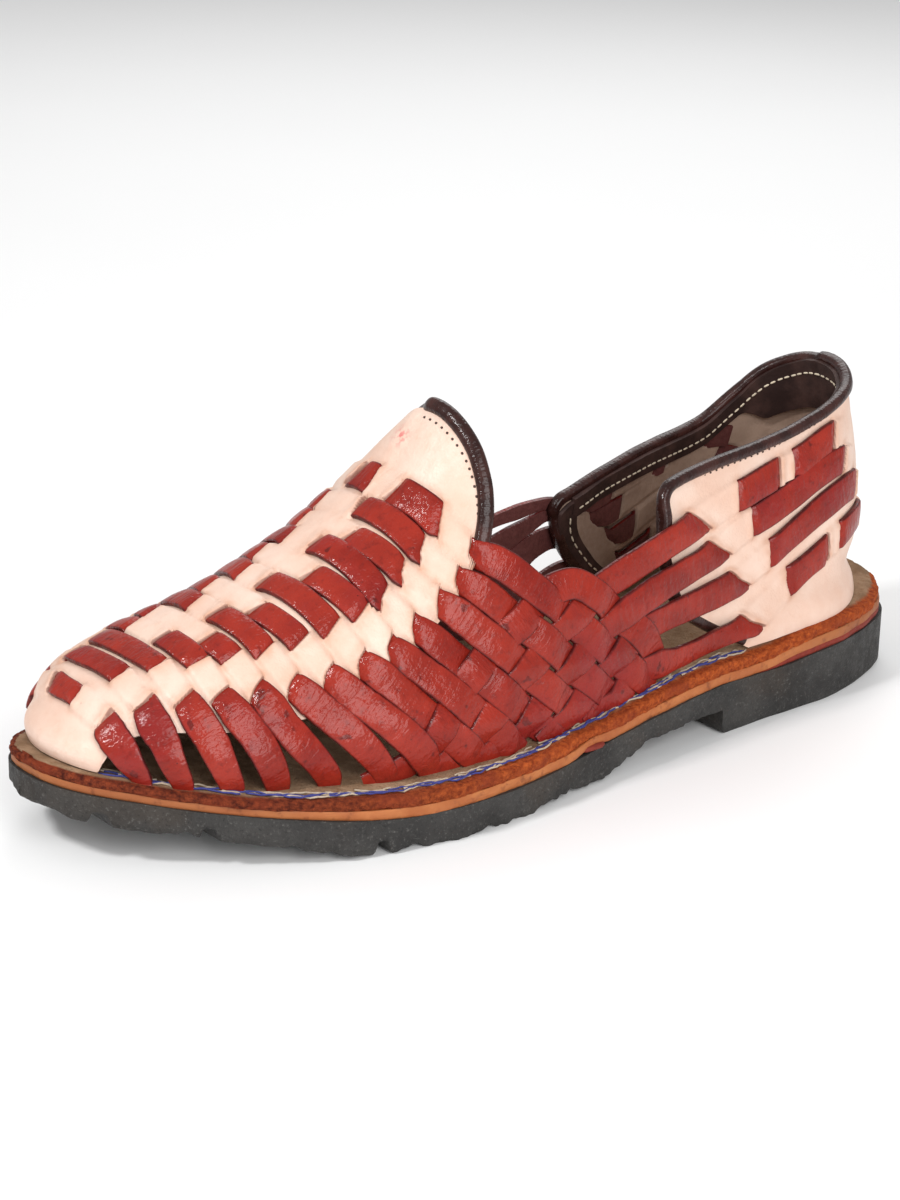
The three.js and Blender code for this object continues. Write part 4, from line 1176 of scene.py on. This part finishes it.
def grooved_underside(x):
    z = underside(x)
    for at in GROOVES:
        inside = 1 - smooth(np.abs(x - at), *GROOVE_EDGE)
        z = np.maximum(z, underside(x) + inside * GROOVE_DEEP)
    return z + np.maximum(ripple(x, TREAD_WAVES, seed=21), 0) * smooth(x, *TREAD_X)


def dent(x):
    """Lens-shaped gap where the midsole is pressed up."""
    return DENT_DEEP * hump(x, DENT_AT, DENT_LONG)


def thinned(x):
    return 1 - FORE_THIN * smooth(x, *FORE_THIN_X)


def board_top(x):
    """Top of the insole, sunk a little under the counter's front."""
    return insole_top(x) - WAIST_SINK * hump(x, SINK_AT, SINK_LONG)


def insole_bottom(x):
    return board_top(x) - INSOLE_THICK * thinned(x) - GAP + DENT_SHARE * dent(x)


def midsole_bottom(x):
    return board_top(x) - (INSOLE_THICK + MIDSOLE_THICK) * thinned(x) - 2 * GAP + dent(x)


def layer_bottom(x):
    return midsole_bottom(x) - (LAYER_THICK + GAP) * smooth(-x, *LAYER_TAPER)


def rubber_top(x):
    return layer_bottom(x) - dent(x)


def lift_bottom(x):
    t = np.clip((x - HEEL_BREAST) / BREAST_ROUND + 1, 0, 1)
    return BREAST_ROUND * (1 - np.sqrt(1 - t ** 2))


def end_growth(x):
    ends = TOE_GROW * smooth(x, *TOE_GROW_X) + HEEL_GROW * smooth(-x, *HEEL_GROW_X)
    return ends - HEEL_TRIM * hump(x, TRIM_AT, TRIM_LONG)


def heel_spread(x):
    return smooth(-x, *HEEL_SPREAD_X)


def insole_side(t, x, place):
    fuzz = ripple(place + FUZZ_SLANT * t, INSOLE_FUZZ, seed=3) + ripple(place, INSOLE_WAVES, seed=5)
    edge = INSOLE_BULGE * np.sin(math.pi * t) - INSOLE_RIM * (t == 0)
    return edge + fuzz + INSOLE_GROW * end_growth(x) + INSOLE_SPREAD * heel_spread(x)


def midsole_side(t, x, place):
    wave = ripple(place, MIDSOLE_WAVES, seed=6)
    edge = MIDSOLE_OUT - MIDSOLE_ROUND * (2 * t - 1) ** 4
    return edge + wave + end_growth(x) + MIDSOLE_SPREAD * heel_spread(x)


def rubber_edge(x):
    edge = RUBBER_OUT + end_growth(x) + RUBBER_SPREAD * heel_spread(x)
    return edge + ripple(x, RUBBER_WAVES, seed=9)


def rubber_side(t, x, place):
    front = smooth(x, HEEL_BREAST, HEEL_BREAST + BREAST_FADE)
    chip = ripple(place, CHIP_WAVES, seed=8) * smooth(t, *CHIP_AT) - SOLE_WEAR * smooth(t, *SOLE_WEAR_AT)
    return rubber_edge(x) + chip * front


def heel_side(t, x, place):
    return rubber_edge(x) - HEEL_WEAR * smooth(t, *HEEL_WEAR_AT)


# Red leather plug under the dent of the midsole, and frayed threads on the insole's margin

PLUG_LONG, PLUG_RADIUS, PLUG_FLAT, PLUG_RING, PLUG_IN, PLUG_DOWN = 9.5, 1.9, 0.6, 12, 0.6, 0.45
PLUG_RUN, UPWARDS = (1.0, 0.05, 0.02), (0.0, 0.0, 1.0)
MARGIN_START, MARGIN_STOP, MARGIN_LAST, MARGIN_END = -72.0, 143.0, 12.0, 6.0
# Ways before the first piece of a row and between its pieces
MARGIN_FIRST, MARGIN_GAP = (0, 12), (1, 7)
SWAY_WAVES, RISE_WAVES = ((23, 0.45), (9.1, 0.3), (4.3, 0.15)), ((7.7, 0.15), (3.1, 0.1))
THREAD_STEP, THREAD_RING, THREAD_DROOP = 0.9, 7, 0.4 * INSOLE_DROOP
# Threads in rows (inset from the edge, lift): radius, length of the torn pieces and seed
BLUE_ROWS, BLUE_SIZES = ((2.5, 0.30), (3.2, 0.36)), (0.25, (60, 120), 31)
PALE_ROWS, PALE_SIZES = ((2.7, 0.15), (3.5, 0.2), (4.5, 0.2)), (0.27, (14, 40), 32)


def plug_mesh():
    y = sole_edge(DENT_AT, 0.0, 1) - PLUG_IN
    middle = np.array([DENT_AT, y, midsole_bottom(DENT_AT) - DENT_DEEP * PLUG_DOWN])
    run, up = np.array(PLUG_RUN), np.array(UPWARDS)
    return capsules([middle], [run], [up], PLUG_LONG, PLUG_RADIUS, PLUG_FLAT, PLUG_RING)


def margin_thread(side, start, stop, inset, lift, radius, seed):
    """Thread along the insole's margin between two places x, inset from its edge."""
    x = np.linspace(start, stop, max(int((stop - start) / THREAD_STEP), 6))
    edge = sole_edge(x, 0.0, side)
    out = edge_normals(x, edge, side)
    sway = inset + ripple(x, SWAY_WAVES, seed)
    z = board_top(x) + lift + ripple(x, RISE_WAVES, seed + 1) - THREAD_DROOP
    line = np.stack([x - out[:, 0] * sway, edge - out[:, 1] * sway, z], -1)
    points, faces, _ = rolled_edge(line, np.tile(UPWARDS, (len(x), 1)), 2 * radius, 2 * radius, THREAD_RING)
    return points, faces, {}


def margin_threads(rows, radius, pieces, seed):
    """Threads in rows on both sides, each torn into pieces."""
    parts = []
    draw = np.random.default_rng(seed)
    for side in SIDES:
        for inset, lift in rows:
            at = MARGIN_START + draw.uniform(*MARGIN_FIRST)
            while at < MARGIN_STOP - MARGIN_LAST:
                stop = min(at + draw.uniform(*pieces), MARGIN_STOP - MARGIN_END)
                parts.append(margin_thread(side, at, stop, inset, lift, radius, int(draw.integers(1e6))))
                at = stop + draw.uniform(*MARGIN_GAP)
    return joined(parts)


# Materials. Noise scales are per metre and bump distances are in metres


class Paint:
    """Helper to build a node material. It keeps the colour and the surface direction built so far."""

    def __init__(self, name, colour):
        self.material = bpy.data.materials.new(name)
        self.material.use_nodes = True
        self.tree = self.material.node_tree
        self.place = self.node("TexCoord", "Object")
        self.colour = colour
        self.normal = None

    def put(self, socket, value):
        if isinstance(value, bpy.types.NodeSocket):
            self.tree.links.new(value, socket)
        elif socket.type == "RGBA":
            socket.default_value = (*value, 1)
        else:
            socket.default_value = value

    def node(self, kind, output, inputs=None, **settings):
        """New node with its settings and inputs. Gives one of its outputs."""
        node = self.tree.nodes.new("ShaderNode" + kind)
        for title, value in settings.items():
            setattr(node, title, value)
        for title, value in (inputs or {}).items():
            self.put(node.inputs[title], value)
        return node.outputs[output]

    def mark(self, name):
        return self.node("Attribute", "Fac", attribute_name=name)

    def axis(self, name):
        return self.node("SeparateXYZ", name, {"Vector": self.place})

    def noise(self, scale, detail=3.0, rough=0.55, place=None):
        place = self.place if place is None else place
        inputs = {"Vector": place, "Scale": scale, "Detail": detail, "Roughness": rough}
        return self.node("TexNoise", "Fac", inputs)

    def cells(self, scale, feature="F1"):
        return self.node("TexVoronoi", "Distance", {"Vector": self.place, "Scale": scale}, feature=feature)

    def times(self, a, b):
        return self.node("Math", 0, {0: a, 1: b}, operation="MULTIPLY")

    def ramp(self, value, low, high, start=0.0, end=1.0):
        """Smooth change from start to end as a value goes from low to high."""
        inputs = {"Value": value, "From Min": low, "From Max": high, "To Min": start, "To Max": end}
        return self.node("MapRange", "Result", inputs, interpolation_type="SMOOTHSTEP")

    def mix(self, factor, a, b):
        return self.node("Mix", 2, {0: factor, 6: a, 7: b}, data_type="RGBA")

    def streaks(self, along, across, along_scale, across_scale):
        """Noise that runs with a strap or a rolled edge."""
        inputs = {0: self.times(along, along_scale), 1: self.times(across, across_scale)}
        return self.noise(1.0, 3, 0.6, self.node("CombineXYZ", 0, inputs))

    def shade(self, factor, colour):
        """Mixes a colour into the one so far."""
        self.colour = self.mix(factor, self.colour, colour)

    def cloud(self, scale, detail, low, high, most, colour, rough=0.55):
        """Mixes a colour in where a noise goes from low to high."""
        self.shade(self.ramp(self.noise(scale, detail, rough), low, high, 0.0, most), colour)

    def specks(self, scale, low, high, patch_scale, patch_low, patch_high, most, colour):
        """Mixes a colour in as dots that come in patches."""
        dots = self.ramp(self.cells(scale), low, high, 1.0, 0.0)
        dots = self.times(dots, self.ramp(self.noise(patch_scale, 2), patch_low, patch_high))
        self.shade(self.times(dots, most), colour)

    def bump(self, height, distance, strength=0.5):
        inputs = {"Strength": strength, "Distance": distance, "Height": height}
        if self.normal is not None:
            inputs["Normal"] = self.normal
        self.normal = self.node("Bump", "Normal", inputs)

    def uneven(self, scale, low, high):
        """Roughness that varies with a noise."""
        return self.ramp(self.noise(scale, 3), 0.3, 0.7, low, high)

    def finish(self, rough, **fixed):
        fixed.update(Base_Color=self.colour, Roughness=rough)
        if self.normal is not None:
            fixed.update(Normal=self.normal, Coat_Normal=self.normal)
        shader = self.tree.nodes["Principled BSDF"]
        for title, value in fixed.items():
            self.put(shader.inputs[title.replace("_", " ")], value)
        return self.material


def strap_leather():
    p = Paint("strap_leather", (0.195, 0.0110, 0.0060))
    edge, along = p.mark("edge"), p.mark("along")
    p.cloud(95, 4, 0.32, 0.70, 1.0, (0.290, 0.0210, 0.0110))
    p.shade(p.ramp(p.mark("tint"), 0.0, 1.0, 0.0, 0.40), (0.330, 0.0310, 0.0170))
    p.cloud(38, 3, 0.48, 0.66, 0.40, (0.210, 0.0160, 0.0190))
    p.cloud(420, 4, 0.52, 0.74, 0.45, (0.110, 0.0090, 0.0075), 0.6)
    # Darker along the strap's edges, in patches of a noise
    darker_edges = p.times(p.ramp(edge, 0.84, 0.985), p.ramp(p.noise(240, 3), 0.30, 0.62, 0.45, 1.0))
    p.shade(p.times(darker_edges, 0.85), (0.040, 0.0065, 0.0080))
    p.specks(330, 0.035, 0.085, 150, 0.50, 0.62, 0.8, (0.020, 0.005, 0.005))
    p.cloud(210, 2, 0.68, 0.74, 0.55, (0.050, 0.006, 0.006), 0.5)
    flesh = p.mix(p.noise(600, 4), (0.075, 0.020, 0.020), (0.170, 0.060, 0.055))
    p.shade(p.ramp(p.mark("flesh"), 0.5, 0.9), flesh)
    p.bump(p.cells(1150, "SMOOTH_F1"), 0.00013)
    p.bump(p.noise(2300, 2), 0.00008)
    p.bump(p.ramp(p.streaks(along, edge, 0.42, 0.7), 0.38, 0.62), 0.00028)
    p.bump(p.streaks(along, edge, 1.5, 1.6), 0.00016, 0.4)
    p.bump(p.noise(170, 3), 0.0004, 0.45)
    rough = p.uneven(300, 0.32, 0.46)
    return p.finish(rough, Coat_Weight=0.38, Coat_Roughness=0.11, Specular_IOR_Level=0.07)


def natural_leather():
    p = Paint("natural_leather", (0.700, 0.465, 0.360))
    p.cloud(55, 4, 0.30, 0.72, 1.0, (0.770, 0.580, 0.480))
    p.cloud(260, 4, 0.50, 0.80, 0.35, (0.660, 0.400, 0.280), 0.65)
    stain = p.times(p.mark("stain"), p.ramp(p.noise(150, 3), 0.30, 0.66, 0.1, 0.75))
    p.shade(stain, (0.560, 0.280, 0.170))
    p.specks(210, 0.030, 0.060, 120, 0.55, 0.66, 0.75, (0.120, 0.055, 0.035))
    # Painted shade: dark along the slits, where the strap dives under the sheet
    p.shade(p.ramp(p.mark("slit"), 0.45, 0.95, 0.0, 0.75), (0.150, 0.038, 0.022))
    blot = p.times(p.mark("pink"), p.ramp(p.noise(500, 2), 0.45, 0.60, 0.0, 0.75))
    p.shade(blot, (0.640, 0.100, 0.110))
    flesh = p.mix(p.noise(700, 4), (0.240, 0.150, 0.110), (0.400, 0.280, 0.215))
    flesh = p.mix(p.ramp(p.noise(40, 3), 0.4, 0.65, 0.0, 0.6), flesh, (0.540, 0.390, 0.300))
    p.shade(p.mark("inside"), flesh)
    p.bump(p.cells(1500, "SMOOTH_F1"), 0.00014)
    p.bump(p.noise(420, 4), 0.0003, 0.45)
    p.bump(p.noise(120, 3), 0.0009, 0.4)
    rough = p.uneven(240, 0.42, 0.58)
    return p.finish(rough, Coat_Weight=0.06, Coat_Roughness=0.30, Specular_IOR_Level=0.4)


def binding_leather():
    p = Paint("binding_leather", (0.020, 0.0062, 0.0050))
    p.cloud(160, 4, 0.35, 0.70, 1.0, (0.050, 0.0170, 0.0135))
    p.bump(p.cells(1300, "SMOOTH_F1"), 0.00018)
    p.bump(p.streaks(p.mark("along"), p.mark("around"), 0.9, 0.5), 0.0005)
    rough = p.uneven(380, 0.22, 0.38)
    return p.finish(rough, Coat_Weight=0.30, Coat_Roughness=0.12, Specular_IOR_Level=0.15)


def lining_leather():
    p = Paint("lining_leather", (0.024, 0.0110, 0.0095))
    p.cloud(130, 4, 0.35, 0.70, 1.0, (0.060, 0.0290, 0.0240))
    p.bump(p.noise(600, 4), 0.0003)
    return p.finish(0.6, Specular_IOR_Level=0.3)


def insole_leather():
    p = Paint("insole_leather", (0.230, 0.135, 0.075))
    p.cloud(140, 4, 0.30, 0.70, 1.0, (0.390, 0.250, 0.155))
    p.cloud(400, 4, 0.5, 0.75, 0.6, (0.230, 0.110, 0.050), 0.7)
    grain = p.ramp(p.noise(640, 5, 0.7), 0.30, 0.72)
    rear = p.mix(grain, (0.230, 0.034, 0.008), (0.520, 0.110, 0.024))
    fore = p.mix(grain, (0.060, 0.010, 0.006), (0.260, 0.050, 0.018))
    raw = p.mix(p.ramp(p.axis("X"), 0.015, 0.105), rear, fore)
    raw = p.mix(p.ramp(p.noise(55, 3), 0.48, 0.66, 0.0, 0.65), raw, (0.240, 0.040, 0.016))
    p.shade(p.ramp(p.mark("side"), 0.3, 0.8), raw)
    p.bump(p.noise(1100, 5, 0.7), 0.0009, 0.9)
    p.bump(p.noise(320, 4, 0.6), 0.0013, 0.6)
    return p.finish(0.9, Specular_IOR_Level=0.15)


def midsole_leather():
    p = Paint("midsole_leather", (0.330, 0.088, 0.026))
    p.cloud(70, 4, 0.30, 0.70, 1.0, (0.460, 0.160, 0.052), 0.6)
    for end in ((-0.12, -0.07, 0.6, 0.0), (0.07, 0.13, 0.0, 0.6)):
        p.shade(p.ramp(p.axis("X"), *end), (0.250, 0.085, 0.032))
    p.cloud(330, 4, 0.54, 0.74, 0.7, (0.130, 0.032, 0.013))
    stretched = p.node("Mapping", "Vector", {"Vector": p.place, "Scale": (0.5, 0.5, 6.0)})
    layers = p.noise(160, 4, 0.6, stretched)
    p.shade(p.ramp(layers, 0.55, 0.70, 0.0, 0.45), (0.300, 0.080, 0.025))
    p.bump(p.noise(700, 4, 0.6), 0.0002)
    p.bump(layers, 0.0003, 0.4)
    return p.finish(p.uneven(200, 0.48, 0.66), Specular_IOR_Level=0.25)


def layer_leather():
    p = Paint("layer_leather", (0.090, 0.012, 0.009))
    p.shade(p.noise(500, 4), (0.300, 0.040, 0.022))
    p.bump(p.noise(900, 4), 0.0004, 0.6)
    return p.finish(0.6, Specular_IOR_Level=0.25)


def sole_rubber():
    p = Paint("sole_rubber", (0.023, 0.0215, 0.0205))
    p.cloud(60, 4, 0.32, 0.70, 1.0, (0.043, 0.0405, 0.038))
    p.cloud(24, 3, 0.50, 0.68, 0.55, (0.050, 0.036, 0.026))
    grain = p.noise(1100, 3, 0.7)
    p.shade(p.ramp(grain, 0.56, 0.72, 0.0, 0.55), (0.140, 0.134, 0.126))
    p.shade(p.ramp(grain, 0.30, 0.42, 0.65, 0.0), (0.008, 0.008, 0.008))
    p.bump(grain, 0.0006, 0.8)
    p.bump(p.noise(220, 3), 0.0009)
    return p.finish(p.uneven(260, 0.55, 0.78), Specular_IOR_Level=0.3)


def thread(name, dark, light):
    p = Paint(name, dark)
    p.shade(p.noise(1400, 3), light)
    p.bump(p.noise(3500, 2), 0.0002, 0.6)
    return p.finish(0.75)


def floor_paint():
    p = Paint("floor", (0.86, 0.86, 0.86))
    p.shade(p.noise(3, 2), (0.90, 0.90, 0.90))
    return p.finish(0.7)


# Pieces of the shoe. Edges with a turn of more than these degrees stay sharp

STRAP_ANGLE, SHEET_ANGLE, SOLE_ANGLE = 50, 60, 40


def build_upper():
    strap, natural, dark = strap_leather(), natural_leather(), binding_leather()
    vamp_straps = [vamp_strap(i) for i in range(1, len(VAMP_STRAPS) + 1)]
    counter_straps = [counter_strap(side, j) for side in SIDES for j in range(1, LAST_RISING + 1)]
    side_straps = counter_straps + [arch_strap(side) for side in SIDES]
    vamp_strap_mesh = joined([one.mesh() for one in vamp_straps])
    side_strap_mesh = joined([one.mesh() for one in side_straps])
    piece("vamp_straps", vamp_strap_mesh, strap, STRAP_ANGLE, "strap_leather", "upper")
    piece("side_straps", side_strap_mesh, strap, STRAP_ANGLE, "strap_leather")
    piece("vamp", vamp_mesh(vamp_straps), natural, SHEET_ANGLE, "strap_leather")
    piece("counter", counter_mesh(counter_straps), natural, SHEET_ANGLE, "strap_leather")
    slot = "binding_leather"
    piece("vamp_binding_leather", vamp_binding_mesh(), dark, SHEET_ANGLE, slot, "vamp_binding")
    piece("counter_binding_leather", counter_binding_mesh(), dark, SHEET_ANGLE, slot, "counter_binding")


def build_lining():
    lining = lining_leather()
    cream = thread("cream_thread", (0.62, 0.50, 0.36), (0.80, 0.70, 0.55))
    dark = thread("dark_thread", (0.030, 0.014, 0.010), (0.080, 0.040, 0.028))
    slot = "binding_leather"
    piece("collar_lining", collar_lining_mesh(), lining, SHEET_ANGLE, slot)
    for side, name in SIDE_NAMES:
        piece("front_lining_" + name, front_lining_mesh(side), lining, SHEET_ANGLE, slot)
    stitches = collar_row_mesh(COLLAR_STITCH_BELOW, lining_face, -1, COLLAR_STITCH)
    piece("lining_stitches", stitches, cream, None, slot)
    holes = collar_row_mesh(COLLAR_HOLE_BELOW, collar_face, 1, COLLAR_HOLE)
    piece("collar_holes", holes, dark, None, slot)
    for side, name in SIDE_NAMES:
        piece("front_stitches_" + name, front_stitch_mesh(side), cream, None, slot)
    piece("tongue_holes", tongue_hole_mesh(), dark, None, slot)


def build_sole():
    layer, rubber = layer_leather(), sole_rubber()
    insole = sole_layer(SOLE_LENGTH, 0.0, board_top, insole_bottom, insole_side, 0.9, 9, droop=INSOLE_DROOP)
    midsole = sole_layer(SOLE_LENGTH, MIDSOLE_MARGIN, insole_bottom, midsole_bottom, midsole_side)
    heel_layer = sole_layer(LAYER_STOP, MIDSOLE_MARGIN, midsole_bottom, layer_bottom, midsole_side, rows=4)
    outsole = sole_layer(SOLE_LENGTH, RUBBER_MARGIN, rubber_top, grooved_underside, rubber_side, 0.8, 9)
    heel = sole_layer(HEEL_BREAST, RUBBER_MARGIN, underside, lift_bottom, heel_side, 0.6)
    piece("insole_board", insole, insole_leather(), SHEET_ANGLE, "insole_leather", "insole")
    piece("midsole_board", midsole, midsole_leather(), SOLE_ANGLE, "midsole_leather", "midsole")
    piece("heel_layer_board", heel_layer, layer, SOLE_ANGLE, "layer_leather", "heel_layer")
    piece("outsole_rubber", outsole, rubber, SOLE_ANGLE, "sole_rubber", "outsole")
    piece("heel_rubber", heel, rubber, SOLE_ANGLE, "sole_rubber", "heel")
    piece("edge_plug", plug_mesh(), layer, SHEET_ANGLE, "layer_leather")


def build_margin_threads():
    blue = thread("blue_thread", (0.018, 0.020, 0.120), (0.060, 0.065, 0.280))
    pale = thread("pale_thread", (0.330, 0.240, 0.150), (0.600, 0.510, 0.410))
    piece("blue_threads", margin_threads(BLUE_ROWS, *BLUE_SIZES), blue, None, "insole_leather")
    piece("pale_threads", margin_threads(PALE_ROWS, *PALE_SIZES), pale, None, "insole_leather")


# Floor, light and camera

FLOOR_HALF = 9000.0
# Camera: angles in degrees, distance and aim, lens and sensor, and the nearest distance it sees in metres
CAMERA_TURN, CAMERA_RISE, CAMERA_ROLL = 140.744, 20.24, 1.338
CAMERA_FAR, CAMERA_AT = 840.6, (7.69, -9.22 + CENTRE_Y, 41.83)
CAMERA_LENS, CAMERA_SENSOR, CAMERA_NEAR = 87.49, 36.0, 0.01
# Lights: name, place and aim in metres, size and power
LIGHTS = (
    ("key", (0.95, -0.05, 1.05), (0, 0, 0.04), 0.2, 9.5),
    ("fill", (0.30, 1.20, 0.65), (0, 0, 0.04), 0.9, 14),
    ("rim", (-0.7, -0.7, 0.9), (0, 0, 0.05), 0.8, 5),
)
WORLD_STRENGTH = 0.5


def lay_floor():
    corners = [(x * FLOOR_HALF, y * FLOOR_HALF, 0) for x, y in ((-1, -1), (1, -1), (1, 1), (-1, 1))]
    floor = make_object("floor", (corners, [(0, 1, 2, 3)], {}), floor_paint())


def set_camera():
    a, e, r = (math.radians(k) for k in (CAMERA_TURN, CAMERA_RISE, CAMERA_ROLL))
    back = Vector((math.sin(a) * math.cos(e), -math.cos(a) * math.cos(e), math.sin(e)))
    right = Vector((math.cos(a), math.sin(a), 0))
    up = back.cross(right)
    right, up = right * math.cos(r) + up * math.sin(r), up * math.cos(r) - right * math.sin(r)
    camera = bpy.data.objects.new("camera", bpy.data.cameras.new("camera"))
    camera.data.lens = CAMERA_LENS
    camera.data.sensor_width = CAMERA_SENSOR
    camera.data.clip_start = CAMERA_NEAR
    turn = Matrix((right, up, back)).transposed().to_4x4()
    camera.matrix_world = Matrix.Translation((Vector(CAMERA_AT) + back * CAMERA_FAR) * MM) @ turn
    bpy.context.scene.collection.objects.link(camera)
    bpy.context.scene.camera = camera


def area_light(name, place, aim, size, power):
    light = bpy.data.lights.new(name, "AREA")
    light.size = size
    light.energy = power
    obj = bpy.data.objects.new(name, light)
    obj.location = place
    obj.rotation_euler = (Vector(aim) - Vector(place)).to_track_quat("-Z", "Y").to_euler()
    bpy.context.scene.collection.objects.link(obj)


def set_world():
    world = bpy.data.worlds.new("studio")
    world.use_nodes = True
    background = world.node_tree.nodes["Background"]
    background.inputs["Color"].default_value = (1, 1, 1, 1)
    background.inputs["Strength"].default_value = WORLD_STRENGTH
    bpy.context.scene.world = world
    bpy.context.scene.view_settings.view_transform = "Standard"


build_upper()
build_lining()
build_sole()
build_margin_threads()
lay_floor()
set_camera()
for light in LIGHTS:
    area_light(*light)
set_world()
